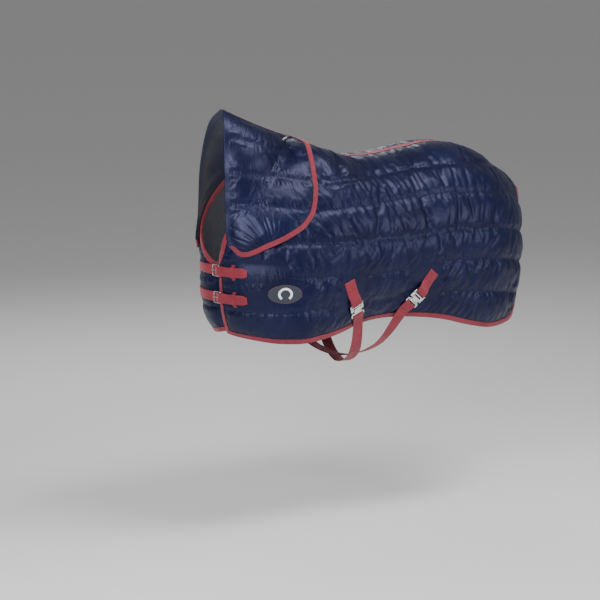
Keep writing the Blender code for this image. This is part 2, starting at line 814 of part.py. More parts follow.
def make_keeper(name, frame, bed, surface):
    """Narrow band over the strap tip, its two feet sewn to the rug."""
    turned = Frame(frame.base + frame.run * KEEPER_PLACE, frame.side, frame.out)
    half = 0.5 * CHEST_WEBBING_WIDTH
    foot = 0.0015
    crown = 0.0087
    path = [(-half - 0.012, foot), (-half - 0.004, foot), (-half - 0.002, crown - 0.0006),
            (-half + 0.001, crown), (half - 0.001, crown), (half + 0.002, crown - 0.0006),
            (half + 0.004, foot), (half + 0.012, foot)]
    across = (-KEEPER_HALF_WIDTH, KEEPER_HALF_WIDTH)
    grips = [1.0] * len(path)
    top, bottom = plain_grid(turned, path, KEEPER_BAND, across, bed, grips)
    return add_sheet(name, top, bottom, surface)


def make_buckle_frame(name, frame, surface):
    """Rectangular frame of round bar, hung on its heel bar."""
    radius = BUCKLE_CORNER
    near = BUCKLE_HEEL
    far = BUCKLE_HEEL - BUCKLE_LENGTH
    half = BUCKLE_HALF_WIDTH
    corners = ((near - radius, half - radius, 0.0), (far + radius, half - radius, 90.0),
               (far + radius, -half + radius, 180.0), (near - radius, -half + radius, 270.0))
    rings = []
    for s, l, start in corners:
        for k in range(4):
            angle = math.radians(start + 30.0 * k)
            ahead = (math.cos(angle), math.sin(angle))
            ring = []
            for m in range(10):
                turn = 2.0 * math.pi * m / 10
                out = radius + BUCKLE_BAR * math.cos(turn)
                ring.append(frame.at(s + ahead[0] * out, BUCKLE_HEIGHT + BUCKLE_BAR * math.sin(turn),
                                     l + ahead[1] * out))
            rings.append(ring)
    origin = frame.at(BUCKLE_HEEL, BUCKLE_HEIGHT, 0.0)
    return add_ring(name, rings, surface, origin)


def make_tongue(name, frame, surface):
    coil = BUCKLE_BAR + 0.0005 + 0.00075
    path = [(-0.0075, 0.0110), (-0.0010, 0.0112), (0.0080, 0.0106), (0.0180, 0.0098),
            (0.0280, 0.0089), (0.0335, 0.0086)]
    thick = [0.0016, 0.0022, 0.0022, 0.0022, 0.0022, 0.0020]
    turns = arc((BUCKLE_HEEL, BUCKLE_HEIGHT), coil, 150.0, -135.0, 9)
    path += turns
    thick += [0.0015] * len(turns)
    across = (-TONGUE_HALF_WIDTH, TONGUE_HALF_WIDTH)
    top, bottom = plain_grid(frame, path, thick, across)
    origin = frame.at(BUCKLE_HEEL, BUCKLE_HEIGHT, 0.0)
    return add_sheet(name, top, bottom, surface, (), origin)


def make_chest_straps(bed, webbing, metal):
    for label, height in zip(("upper", "lower"), CHEST_STRAP_HEIGHTS):
        frame = chest_frame(bed, height)
        make_billet(f"chest_{label}_billet", frame, bed, webbing)
        make_chape(f"chest_{label}_buckle_chape", frame, bed, webbing)
        make_keeper(f"chest_{label}_keeper", frame, bed, webbing)
        make_buckle_frame(f"chest_{label}_buckle_frame", frame, metal)
        make_tongue(f"chest_{label}_buckle_tongue", frame, metal)


# ---------------------------------------------------------------- belly surcingles

# Where each surcingle's plate hangs on the near side: (x, z) of its bar and the way the strap runs.
SURCINGLES = {
    "front": ((0.062, -0.650), (0.40, -0.92)),
    "rear": ((0.386, -0.634), (-0.62, -0.78)),
}
FITTING_LIFT = 0.007
OFF_LAY_END = {"front": 0.118, "rear": 0.098}


def side_frame(bed, side, spot, run):
    x = spot[0] * BACK_LENGTH / LAYOUT_BACK
    z = spot[1] * SIDE_DROP / LAYOUT_DROP
    out = Vector((0.0, float(side), 0.0))
    hit, normal = bed.drop(Vector((x, side * BARREL_HALF_WIDTH, z)), out)
    if normal.dot(out) < 0.0:
        normal = -normal
    return Frame(hit + normal * FITTING_LIFT, Vector((run[0], 0.0, run[1])), normal)


def make_patch(name, frame, bed, surface):
    lie = SEWN_GAP + 0.5 * WEBBING
    radius = 0.0031 + 0.5 * WEBBING
    under = FITTING_HEIGHT - radius
    path = [(s, lie) for s in stepped(-PATCH_LENGTH, -0.034, 0.0120)]
    path += [(-0.016, 0.0020), (-0.006, under)]
    path += arc((0.0, FITTING_HEIGHT), radius, -90.0, 90.0, 6)
    path += [(-0.006, FITTING_HEIGHT + radius - 0.0002), (-0.016, 0.0080), (-0.030, 0.0042),
             (-0.045, 0.0037), (-0.058, 0.0037)]
    grips = [smooth(0.020, 0.045, -s) for s, _ in path]
    half = 0.5 * BELLY_WEBBING_WIDTH
    top, bottom = plain_grid(frame, path, WEBBING, (-half, 0.0, half), bed, grips)
    return add_sheet(name, top, bottom, surface)


def flat_plate(frame, lengths, height, halves, surface, name, open_cells, origin):
    top = []
    bottom = []
    for s in lengths:
        top.append([frame.at(s, height + 0.5 * FITTING_SHEET, l) for l in halves])
        bottom.append([frame.at(s, height - 0.5 * FITTING_SHEET, l) for l in halves])
    return add_sheet(name, top, bottom, surface, open_cells, origin)


def make_plate(name, frame, surface):
    """Slotted plate that the patch loops through and the hook drops into."""
    edge = 0.0025
    lengths = (-edge, edge, 0.0095, 0.0150, 0.0255, PLATE_LENGTH - edge)
    wide = FITTING_HALF_WIDTH
    halves = (-wide, -FITTING_SLOT_HALF, -0.0195, 0.0195, FITTING_SLOT_HALF, wide)
    slots = [(1, 1), (1, 2), (1, 3), (3, 2)]
    origin = frame.at(0.0, FITTING_HEIGHT, 0.0)
    return flat_plate(frame, lengths, FITTING_HEIGHT, halves, surface, name, slots, origin)


def make_hook(name, frame, surface):
    """Bent plate: its lip passes through the slotted plate, its bar carries the belly strap."""
    path = [(0.0300, 0.0029), (0.0240, 0.0029), (0.0212, 0.0040), (0.0202, 0.0065),
            (0.0212, 0.0090), (0.0240, 0.0101), (0.0350, 0.0101), (0.0400, 0.0085),
            (0.0440, 0.0068), (0.0495, 0.0065), (0.0565, 0.0065), (0.0615, 0.0065)]
    narrow = HOOK_HALF_WIDTH / FITTING_HALF_WIDTH
    widths = [narrow] * 7 + [0.75, 1.0, 1.0, 1.0, 1.0]
    halves = (-FITTING_HALF_WIDTH, -FITTING_SLOT_HALF, FITTING_SLOT_HALF, FITTING_HALF_WIDTH)
    top, bottom = plain_grid(frame, path, FITTING_SHEET, halves, None, None, widths)
    origin = frame.at(HOOK_BAR, FITTING_HEIGHT, 0.0)
    return add_sheet(name, top, bottom, surface, [(9, 1)], origin)


def belly_route(start, start_run, end, end_run, depth):
    """Middle line of the free strap under the belly, from the near fitting to the off side."""
    middle_x = 0.5 * (start.x + end.x)
    low = Vector((middle_x, 0.0, -depth))
    near_turn = start.lerp(low, 0.5) + Vector((0.0, -0.035, -0.045))
    off_turn = end.lerp(low, 0.5) + Vector((0.0, 0.035, -0.045))
    stops = [start - start_run * 0.12, start, near_turn, low, off_turn, end, end + end_run * 0.12]
    out = []
    for k in range(1, len(stops) - 2):
        for m in range(6):
            four = [stops[k - 1], stops[k], stops[k + 1], stops[k + 2]]
            out.append(Vector([curve_through([p[a] for p in four], m / 6.0) for a in range(3)]))
    return out[1:]


def make_belly_strap(name, near_frame, off_frame, lay_end, bed, depth, surface):
    half = 0.5 * BELLY_WEBBING_WIDTH
    across = (-half, 0.0, half)
    radius = 0.0031 + 0.5 * WEBBING
    under = FITTING_HEIGHT - radius
    over = FITTING_HEIGHT + radius
    path = [(BELLY_FOLD_END, 0.0048), (0.078, 0.0052), (0.068, 0.0085), (0.063, over - 0.0003)]
    path += arc((HOOK_BAR, FITTING_HEIGHT), radius, 90.0, 270.0, 6)
    path += [(0.070, under), (0.082, under), (BELLY_FOLD_END + 0.002, under)]
    top, bottom = plain_grid(near_frame, path, WEBBING, across)
    # The folded end is laid first, so its grids are turned over to run on into the free strap.
    start = near_frame.at(BELLY_FOLD_END + 0.002, under, 0.0)
    lie = SEWN_GAP + 0.5 * WEBBING
    laid = [(s, lie + 0.0055 * smooth(-0.030, 0.030, s)) for s in stepped(lay_end, -PATCH_LENGTH, 0.0125)]
    landing, beyond = (off_frame.laid(bed, s, h, 0.0, 1.0) for s, h in laid[:2])
    route = belly_route(start, near_frame.run, landing, unit(beyond - landing), depth)
    count = len(route)
    for k, place in enumerate(route):
        ahead = route[k + 1] if k + 1 < count else landing
        behind = route[k - 1] if k else start
        run = unit(ahead - behind)
        out = Vector((0.0, place.y, (place.z + 0.55) * 1.2))
        share = min(1.0, (k + 1) / 4.0)
        out = near_frame.out.lerp(unit(out), share)
        tail = min(1.0, (count - k) / 4.0)
        out = off_frame.out.lerp(out, tail)
        out = unit(out - run * out.dot(run))
        side = out.cross(run)
        row = [place + side * l for l in across]
        top.append([p - out * (-0.5 * WEBBING) for p in row])
        bottom.append([p + out * (-0.5 * WEBBING) for p in row])
    for s, rise in laid:
        high = []
        low = []
        for l in across:
            # The strap now runs up the off side, so its left and right change over.
            place = off_frame.laid(bed, s, rise, -l, 1.0)
            high.append(place + off_frame.out * (0.5 * WEBBING))
            low.append(place - off_frame.out * (0.5 * WEBBING))
        top.append(high)
        bottom.append(low)
    return add_sheet(name, top, bottom, surface)


def make_surcingles(bed, webbing, metal):
    depths = {"front": BELLY_DEPTH + BELLY_CROSSING, "rear": BELLY_DEPTH}
    other = {"front": "rear", "rear": "front"}
    for label, (spot, run) in SURCINGLES.items():
        near_frame = side_frame(bed, NEAR, spot, run)
        off_spot, off_run = SURCINGLES[other[label]]
        off_frame = side_frame(bed, OFF, off_spot, off_run)
        make_patch(f"surcingle_{label}_patch", near_frame, bed, webbing)
        make_plate(f"surcingle_{label}_plate", near_frame, metal)
        make_hook(f"surcingle_{label}_hook", near_frame, metal)
        depth = depths[label] * SIDE_DROP / LAYOUT_DROP
        name = f"surcingle_{label}_strap"
        make_belly_strap(name, near_frame, off_frame, OFF_LAY_END[label], bed, depth, webbing)


# ---------------------------------------------------------------- badge

BADGE_SPOT = (-0.268, -0.587)


def badge_frame(bed):
    x = BADGE_SPOT[0] * CHEST_REACH / LAYOUT_REACH
    z = BADGE_SPOT[1] * SIDE_DROP / LAYOUT_DROP
    out = unit(Vector((-0.35, -1.0, 0.0)))
    hit, _ = bed.drop(Vector((x, -0.27, z)), out)
    return Frame(hit, Vector((0.94, -0.33, 0.0)), out)


def make_badge_patch(frame, bed, surface):
    """Oval sewn patch laid over the shell."""
    spokes = 28
    rims = (1.0, 0.66, 0.33)
    points = []
    for height in (BADGE_GAP + BADGE_PATCH, BADGE_GAP):
        for rim in rims:
            for k in range(spokes):
                angle = 2.0 * math.pi * k / spokes
                s = 0.5 * BADGE_LENGTH * rim * math.cos(angle)
                l = 0.5 * BADGE_HEIGHT * rim * math.sin(angle)
                points.append(frame.laid(bed, s, height, l, 1.0))
        points.append(frame.laid(bed, 0.0, height, 0.0, 1.0))
    layer = len(rims) * spokes + 1
    faces = []
    for shift in (0, layer):
        for ring in range(len(rims) - 1):
            for k in range(spokes):
                a = shift + ring * spokes + k
                b = shift + ring * spokes + (k + 1) % spokes
                faces += [(a, b, b + spokes), (a, b + spokes, a + spokes)]
        inner = shift + (len(rims) - 1) * spokes
        for k in range(spokes):
            faces.append((inner + k, inner + (k + 1) % spokes, shift + layer - 1))
    for k in range(spokes):
        a = k
        b = (k + 1) % spokes
        faces += [(a, b, b + layer), (a, b + layer, a + layer)]
    return add_object("badge_patch", points, faces, surface)


def make_badge_motif(frame, bed, surface):
    """Plain horseshoe raised on the patch, open end down."""
    top = []
    bottom = []
    low = BADGE_GAP + BADGE_PATCH + 0.0006
    for k in range(19):
        angle = math.radians(-52.0 + 284.0 * k / 18)
        high_row = []
        low_row = []
        for reach in (0.0185, 0.0275):
            s = reach * 1.08 * math.cos(angle)
            l = reach * math.sin(angle) * 0.98
            high_row.append(frame.laid(bed, s, low + BADGE_MOTIF, l, 1.0))
            low_row.append(frame.laid(bed, s, low, l, 1.0))
        top.append(high_row)
        bottom.append(low_row)
    return add_sheet("badge_motif", top, bottom, surface)


# ---------------------------------------------------------------- whole rug
def build():
    clear_scene()
    navy = material("navy_nylon", (0.010, 0.014, 0.042), 0.32)
    fill = material("white_wadding", (0.82, 0.83, 0.84), 0.95)
    lining = material("navy_lining", (0.020, 0.026, 0.060), 0.62)
    tape = material("burgundy_tape", (0.30, 0.022, 0.050), 0.72)
    webbing = material("burgundy_webbing", (0.33, 0.018, 0.045), 0.70)
    metal = material("nickel_plated_steel", (0.72, 0.72, 0.70), 0.28, 1.0)
    badge = material("badge_cloth", (0.012, 0.016, 0.030), 0.80)
    motif = material("badge_thread", (0.78, 0.80, 0.82), 0.60)
    surfaces = {"outer_shell": navy, "wadding": fill, "lining": lining}

    panels = make_body_panels(surfaces)
    make_neck_cover(surfaces)
    make_body_bindings(tape)
    make_neck_bindings(tape)
    make_ridge_tapes(tape, navy)

    bed = Bed(panels["near_outer_shell"], panels["off_outer_shell"])
    make_chest_straps(bed, webbing, metal)
    make_surcingles(bed, webbing, metal)
    frame = badge_frame(bed)
    make_badge_patch(frame, bed, badge)
    make_badge_motif(frame, bed, motif)


build()
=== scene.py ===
import json
import math

import bmesh
import bpy
import numpy as np
from mathutils import Matrix, Vector, noise
from mathutils.bvhtree import BVHTree
from mathutils.kdtree import KDTree

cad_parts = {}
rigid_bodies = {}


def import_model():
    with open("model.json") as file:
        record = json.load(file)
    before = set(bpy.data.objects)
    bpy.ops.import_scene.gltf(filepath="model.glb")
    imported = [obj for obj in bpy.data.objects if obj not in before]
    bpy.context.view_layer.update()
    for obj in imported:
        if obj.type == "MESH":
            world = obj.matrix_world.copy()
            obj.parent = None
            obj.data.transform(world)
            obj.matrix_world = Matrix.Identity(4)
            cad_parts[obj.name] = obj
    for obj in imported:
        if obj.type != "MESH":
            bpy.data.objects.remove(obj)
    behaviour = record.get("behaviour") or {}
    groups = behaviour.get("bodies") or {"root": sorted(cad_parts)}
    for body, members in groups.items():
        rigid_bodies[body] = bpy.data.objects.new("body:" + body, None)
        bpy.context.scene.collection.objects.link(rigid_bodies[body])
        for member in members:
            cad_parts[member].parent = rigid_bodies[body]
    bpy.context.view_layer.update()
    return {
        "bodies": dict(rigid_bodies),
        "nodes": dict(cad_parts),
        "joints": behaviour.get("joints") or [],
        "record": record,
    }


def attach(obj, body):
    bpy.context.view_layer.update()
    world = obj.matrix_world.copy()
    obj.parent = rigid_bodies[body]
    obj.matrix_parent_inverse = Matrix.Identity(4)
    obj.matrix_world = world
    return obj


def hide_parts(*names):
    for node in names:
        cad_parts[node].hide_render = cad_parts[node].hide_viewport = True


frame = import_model()


# ------------------------------------------------------------------ outer shells, near and off half
# Each half of the rug is one panel of proofed navy nylon, cut to hang from the spine seam to the
# hem and from the breast to the tail. It is quilted in long level rows, so the cloth puffs between
# the rows, puckers along them and drags in folds from the withers.

NEAR = -1.0
OFF = 1.0
# One line of cloth per row, breast to tail: top edge, widest place and hem (x, y, z), how square
# the shoulder of the line is, and the slope in degrees that it leaves the top edge with.
CLOTH_LINES = np.array([
    (-0.417, 0.000, -0.477, -0.425, 0.000, -0.600, -0.386, 0.000, -0.767, 1.2, 40.0),
    (-0.440, 0.055, -0.430, -0.422, 0.090, -0.600, -0.374, 0.070, -0.775, 1.2, 40.0),
    (-0.438, 0.090, -0.345, -0.387, 0.168, -0.580, -0.336, 0.140, -0.785, 1.3, 35.0),
    (-0.372, 0.132, -0.250, -0.313, 0.238, -0.560, -0.272, 0.222, -0.795, 1.4, 30.0),
    (-0.275, 0.132, -0.148, -0.208, 0.292, -0.530, -0.180, 0.282, -0.795, 1.5, 25.0),
    (-0.165, 0.082, -0.052, -0.085, 0.310, -0.500, -0.065, 0.278, -0.785, 1.7, 15.0),
    (-0.070, 0.000, -0.002, 0.010, 0.320, -0.485, 0.035, 0.263, -0.768, 2.0, 0.0),
    (0.060, 0.000, -0.034, 0.120, 0.330, -0.475, 0.135, 0.238, -0.748, 2.1, 0.0),
    (0.200, 0.000, -0.078, 0.240, 0.335, -0.470, 0.250, 0.243, -0.736, 2.1, 0.0),
    (0.360, 0.000, -0.083, 0.380, 0.335, -0.470, 0.380, 0.270, -0.741, 2.1, 0.0),
    (0.520, 0.000, -0.065, 0.520, 0.332, -0.465, 0.520, 0.292, -0.762, 2.1, 0.0),
    (0.680, 0.000, -0.052, 0.665, 0.326, -0.450, 0.660, 0.291, -0.800, 2.1, 0.0),
    (0.840, 0.000, -0.086, 0.805, 0.312, -0.440, 0.785, 0.278, -0.826, 2.1, 0.0),
    (0.990, 0.000, -0.161, 0.930, 0.272, -0.450, 0.890, 0.248, -0.824, 2.0, 0.0),
    (1.095, 0.000, -0.233, 1.020, 0.205, -0.480, 0.952, 0.225, -0.808, 1.9, 0.0),
    (1.168, 0.000, -0.292, 1.078, 0.122, -0.490, 0.988, 0.205, -0.765, 1.7, 0.0),
])
WIDEST_PLACE = 0.62
TAIL_LINE = 15.0
WITHERS_LINE = 6.0
FRONT_LAP_DROP = 0.017
PANEL_START = {NEAR: 0.35, OFF: -1.0}
PANEL_COLUMNS = 290
PANEL_ROWS = 126
# Level of each quilting row at the cloth lines named first.
QUILT_LINES_AT = (0.0, 3.4, 5.2, 7.5, 9.1, 10.3, 11.5, 13.0, 15.0)
QUILT_LEVELS = (
    (-0.20, -0.16, -0.15, -0.147, -0.140, -0.128, -0.128, -0.165, -0.305),
    (-0.26, -0.25, -0.26, -0.247, -0.240, -0.233, -0.242, -0.268, -0.352),
    (-0.385, -0.378, -0.390, -0.389, -0.393, -0.379, -0.393, -0.420, -0.467),
    (-0.515, -0.521, -0.527, -0.530, -0.527, -0.513, -0.520, -0.550, -0.600),
    (-0.660, -0.662, -0.656, -0.652, -0.645, -0.639, -0.665, -0.690, -0.720),
)
BINDING_WIDTH = 0.020
RIM_THICKNESS = 0.0042
FIELD_THICKNESS = 0.0120
QUILT_DIP = 0.0036
SHELL_CLOTH = 0.0008


def with_ends(lines):
    """The cloth lines with the first ones mirrored ahead of the breast and one past the tail."""
    mirrored = lines[3:0:-1].copy()
    mirrored[:, [1, 4, 7]] *= -1.0
    return np.vstack([mirrored, lines, 2.0 * lines[-1] - lines[-2]])


ALL_LINES = with_ends(CLOTH_LINES)


def smooth_between(a, b, c, d, t):
    return 0.5 * (2.0 * b + (c - a) * t + (2.0 * a - 5.0 * b + 4.0 * c - d) * t * t
                  + (3.0 * b - a - 3.0 * c + d) * t ** 3)


def form(u, v):
    """Face of the rug: u counts cloth lines from the breast, v runs from top edge to hem."""
    u, v = np.broadcast_arrays(np.asarray(u, float), np.asarray(v, float))
    base = np.clip(np.floor(u), -2, TAIL_LINE - 1).astype(int)
    row = smooth_between(*(ALL_LINES[base + 3 + k] for k in (-1, 0, 1, 2)), (u - base)[..., None])
    top, wide, hem = row[..., 0:3], row[..., 3:6], row[..., 6:9]
    power = 2.0 / row[..., 9]
    first = np.radians(np.maximum(row[..., 10], 0.0))
    angle = first + (0.5 * np.pi - first) * np.clip(v, 0.0, WIDEST_PLACE) / WIDEST_PLACE
    begun = np.sin(first) ** power
    out = ((np.sin(angle) ** power - begun) / (1.0 - begun))[..., None]
    down = (np.maximum(np.cos(angle), 0.0) / np.cos(first)) ** power
    low = (np.maximum(v - WIDEST_PLACE, 0.0) / (1.0 - WIDEST_PLACE))[..., None]
    place = top + (wide - top) * out + (hem - wide) * low * low
    level = wide[..., 2] + (top[..., 2] - wide[..., 2]) * down
    place[..., 2] = level + (hem[..., 2] - wide[..., 2]) * low[..., 0]
    return place


def lengths(vectors):
    return np.sqrt((vectors ** 2).sum(-1))


def units(vectors):
    return vectors / np.maximum(lengths(vectors), 1e-12)[..., None]


def ease(low, high, value):
    t = np.clip((np.asarray(value, float) - low) / (high - low), 0.0, 1.0)
    return t * t * (3.0 - 2.0 * t)


def form_facing(u, v):
    u, v = np.broadcast_arrays(np.minimum(u, TAIL_LINE - 0.25), np.minimum(v, 0.96))
    along = form(u + 0.02, v) - form(u - 0.02, v)
    across = form(u, v + 0.02) - form(u, np.maximum(v - 0.02, 0.0))
    return units(np.cross(along, across))


def panel_place(side, u, v, depth):
    """Point at a depth under the face of one half, in the rug's own place."""
    place = form(u, v)
    facing = form_facing(u, v)
    on_spine = (np.asarray(u) >= WITHERS_LINE) & (np.asarray(v) < 1e-6)
    place[..., 1] = np.where(on_spine, 0.0002, place[..., 1])
    facing[..., 1] = np.where(on_spine, 0.0, facing[..., 1])
    drop = depth + (FRONT_LAP_DROP * (1.0 - ease(-0.28, 0.55, u)) if side == OFF else 0.0)
    place = place - units(facing) * np.asarray(drop)[..., None]
    return place * (1.0, side, 1.0)


def nearest_way(points, line):
    """Distance from each point of a grid to the closest of a list of points."""
    tree = KDTree(len(line))
    for k, place in enumerate(line):
        tree.insert(place, k)
    tree.balance()
    return np.array([tree.find(p)[2] for p in points.reshape(-1, 3)]).reshape(points.shape[:-1])


def quilt_row(level_row, columns, lowest=0.02):
    """One quilting row as (u, v) places where the cloth line reaches the row's level."""
    levels = np.interp(columns, QUILT_LINES_AT, level_row)
    ladder = np.linspace(0.0, 1.0, 200)
    found = []
    for u, level in zip(columns, levels):
        height = form(np.full(200, u), ladder)[:, 2]
        v = float(np.interp(-level, -height, ladder))
        if lowest < v < 0.97:
            found.append((u, v))
    return np.array(found)


def noise_over(x, y, seed):
    flat = [noise.noise((a, b, seed)) for a, b in zip(x.ravel(), y.ravel())]
    return np.array(flat).reshape(x.shape)


def drag_folds(place, side):
    """Folds that the weight of the cloth drags into it: fanned ones behind the withers, slanted
    ones over the barrel and upright ones on the quarters. Height in metres."""
    x = place[..., 0]
    z = place[..., 2]
    seed = 3.0 + side
    height = np.zeros(x.shape)
    layers = (
        (-58.0, 0.030, 0.34, 0.0058,
         ease(-0.22, -0.06, x) * ease(0.42, 0.16, x) * ease(-0.50, -0.30, z)),
        (48.0, 0.034, 0.30, 0.0050,
         ease(-0.24, -0.05, x) * ease(0.95, 0.55, x) * ease(-0.28, -0.42, z)),
        (80.0, 0.026, 0.22, 0.0036, ease(0.30, 0.55, x) * ease(-0.42, -0.26, z)),
        (72.0, 0.075, 0.45, 0.0060,
         ease(0.62, 0.80, x) * ease(1.06, 0.92, x) * ease(-0.22, -0.36, z)),
        (15.0, 0.060, 0.25, 0.0016, np.ones(x.shape)),
    )
    for k, (angle, width, length, size, where) in enumerate(layers):
        turn = math.radians(angle)
        warp = 0.035 * noise_over(x / 0.16, z / 0.16, seed + 11.0 * k)
        along = x * math.cos(turn) + z * math.sin(turn)
        across = -x * math.sin(turn) + z * math.cos(turn) + warp
        wave = noise_over(across / width, along / length, seed + 5.0 * k)
        ridge = 1.0 - np.abs(wave) * 2.4
        patchy = ease(-0.25, 0.35, noise_over(x / 0.13, z / 0.13, seed + 31.0 * k))
        height += size * where * (0.25 + 0.75 * patchy) * np.clip(ridge, -0.6, 1.0)
    return height


def cells_of(rows, cols):
    """Corner numbers of the cells of a grid of points, first point first."""
    index = np.arange(rows * cols).reshape(rows, cols)
    cells = (index[:-1, :-1], index[1:, :-1], index[1:, 1:], index[:-1, 1:])
    return np.stack(cells, -1).reshape(-1, 4)


def settle(name, points, pinned, facing, press, spare, most, steps=18):
    """The panel as cloth: held where it is pinned, with some spare length, pressed out from inside
    until it settles. No point ends further than most from where it began."""
    rows, cols = points.shape[:2]
    quads = cells_of(rows, cols)[:, [0, 3, 2, 1]]
    mesh = bpy.data.meshes.new(name)
    mesh.from_pydata(points.reshape(-1, 3).tolist(), [], quads.tolist())
    cloth = bpy.data.objects.new(name, mesh)
    bpy.context.scene.collection.objects.link(cloth)
    normal = mesh.polygons[len(mesh.polygons) // 2].normal
    middle = facing.reshape(-1, 3)[quads[len(quads) // 2][0]]
    if normal.dot(Vector(middle)) < 0.0:
        mesh.flip_normals()
    group = cloth.vertex_groups.new(name="held")
    flat = pinned.ravel()
    for weight in (1.0, 0.5):
        chosen = np.nonzero(np.isclose(flat, weight))[0].tolist()
        if chosen:
            group.add(chosen, weight, "REPLACE")
    modifier = cloth.modifiers.new("cloth", "CLOTH")
    setting = modifier.settings
    setting.quality = 4
    setting.mass = 0.05
    setting.tension_stiffness = 12.0
    setting.compression_stiffness = 12.0
    setting.shear_stiffness = 4.0
    setting.bending_stiffness = 0.12
    setting.air_damping = 2.0
    setting.vertex_group_mass = "held"
    setting.pin_stiffness = 1.0
    setting.shrink_min = -spare
    setting.shrink_max = -spare
    setting.use_pressure = True
    setting.uniform_pressure_force = press
    setting.effector_weights.gravity = 0.0
    scene = bpy.context.scene
    for step in range(1, steps + 1):
        scene.frame_set(step)
    shown = cloth.evaluated_get(bpy.context.evaluated_depsgraph_get())
    settled = np.empty(rows * cols * 3)
    shown.data.vertices.foreach_get("co", settled)
    scene.frame_set(1)
    bpy.data.objects.remove(cloth, do_unlink=True)
    bpy.data.meshes.remove(mesh)
    settled = settled.reshape(points.shape)
    moved = settled - points
    size = lengths(moved)
    return points + moved * np.minimum(1.0, most / np.maximum(size, 1e-9))[..., None]


def panel_grid(side):
    """Everything about one half: places (u, v), face points, normals, the ways to its rims and to its
    quilting rows, and the quilting rows themselves."""
    columns = np.linspace(PANEL_START[side], TAIL_LINE, PANEL_COLUMNS)
    rows = np.linspace(0.0, 1.0, PANEL_ROWS)
    u, v = np.meshgrid(columns, rows, indexing="ij")
    face = panel_place(side, u, v, 0.0)
    facing = form_facing(u, v) * (1.0, side, 1.0)
    rim = np.vstack([face[0], face[-1], face[:, -1], face[:, 0]])
    quilting = [quilt_row(level, columns) for level in QUILT_LEVELS]
    lines = [panel_place(side, row[:, 0], row[:, 1], 0.0) for row in quilting]
    return {
        "side": side, "u": u, "v": v, "face": face, "facing": facing,
        "to_rim": nearest_way(face, rim),
        "to_line": nearest_way(face, np.vstack(lines)),
        "quilting": quilting,
    }


# Places on the near half where something is sewn down flat: middle and half size in x and z.
SEWN_PLACES = (
    ((-0.36, -0.503), (0.10, 0.030)),
    ((-0.36, -0.615), (0.10, 0.030)),
    ((-0.266, -0.587), (0.062, 0.046)),
    ((0.043, -0.603), (0.045, 0.068)),
    ((0.415, -0.590), (0.060, 0.068)),
)


def sewn_flat(face):
    """1 under the straps, patches and badge, falling to 0 around them."""
    flat = np.zeros(face.shape[:-1])
    for (x, z), (wide, high) in SEWN_PLACES:
        away = np.maximum(np.abs(face[..., 0] - x) - wide, np.abs(face[..., 2] - z) - high)
        flat = np.maximum(flat, ease(0.030, 0.0, away))
    return flat


def quilted(grid):
    """Outer face of a half with its rows, folds and puckers, after the cloth has settled."""
    face, facing = grid["face"], grid["facing"]
    free = ease(0.019, 0.060, grid["to_rim"]) * (1.0 - sewn_flat(face))
    row = ease(0.026, 0.0, grid["to_line"])
    away = free * (drag_folds(face, grid["side"]) * (1.0 - 0.45 * row) - QUILT_DIP * row)
    ripple = noise_over(face[..., 0] / 0.016, grid["v"] * 3.0, 50.0 + grid["side"])
    away += free * ease(0.050, 0.004, grid["to_line"]) * ripple * 0.0012
    start = face + facing * away[..., None]
    held = np.where((grid["to_rim"] < 0.022) | (grid["to_line"] < 0.0045), 1.0, 0.0)
    held = np.where(sewn_flat(face) > 0.5, 1.0, held)
    label = "near" if grid["side"] == NEAR else "off"
    settled = settle(label + "_cloth", start, held, facing, 3.0, 0.035, 0.009)
    return face + facing * ((settled - face) * facing).sum(-1)[..., None] * 0.999 \
        + (settled - face) * 0.001


def grid_normals(points, facing):
    along = np.gradient(points, axis=0)
    across = np.gradient(points, axis=1)
    found = units(np.cross(along, across))
    turned = (found * facing).sum(-1) < 0.0
    return np.where(turned[..., None], -found, found)


def way_along(points, axis):
    """Distance travelled along the grid lines, for a cloth's own measure in metres."""
    step = lengths(np.diff(points, axis=axis))
    zero = np.zeros_like(np.take(step, [0], axis=axis))
    return np.cumsum(np.concatenate([zero, step], axis=axis), axis=axis)


def sheet_mesh(name, outer, inner, facing, marks=None):
    """Closed sheet between two grids of points, with the cloth's own measure as its UV map."""
    rows, cols = outer.shape[:2]
    count = rows * cols
    index = np.arange(count).reshape(rows, cols)
    top = cells_of(rows, cols)
    low = top[:, ::-1] + count
    edge = np.concatenate([index[:-1, 0], index[-1, :-1], index[:0:-1, -1], index[0, :0:-1]])
    after = np.roll(edge, -1)
    wall = np.stack([edge, edge + count, after + count, after], -1)
    faces = np.concatenate([top, low, wall])
    middle = (rows // 2, cols // 2)
    a, b, c = outer[middle], outer[middle[0] + 1, middle[1]], outer[middle[0], middle[1] + 1]
    normal = np.cross(b - a, c - a)
    if (normal * facing[middle]).sum() < 0.0:
        faces = faces[:, ::-1]
    mesh = bpy.data.meshes.new(name)
    points = np.concatenate([outer.reshape(-1, 3), inner.reshape(-1, 3)])
    mesh.from_pydata(points.tolist(), [], faces.tolist())
    mesh.shade_smooth()
    measure = np.stack([way_along(outer, 0), way_along(outer, 1)], -1).reshape(-1, 2)
    measure = np.concatenate([measure, measure])
    uv = mesh.uv_layers.new(name="cloth")
    corners = np.empty(len(mesh.loops), int)
    mesh.loops.foreach_get("vertex_index", corners)
    uv.data.foreach_set("uv", measure[corners].ravel())
    for key, values in (marks or {}).items():
        layer = mesh.attributes.new(key, "FLOAT", "POINT")
        layer.data.foreach_set("value", np.tile(values.ravel(), 2))
    made = bpy.data.objects.new(name, mesh)
    bpy.context.scene.collection.objects.link(made)
    return made


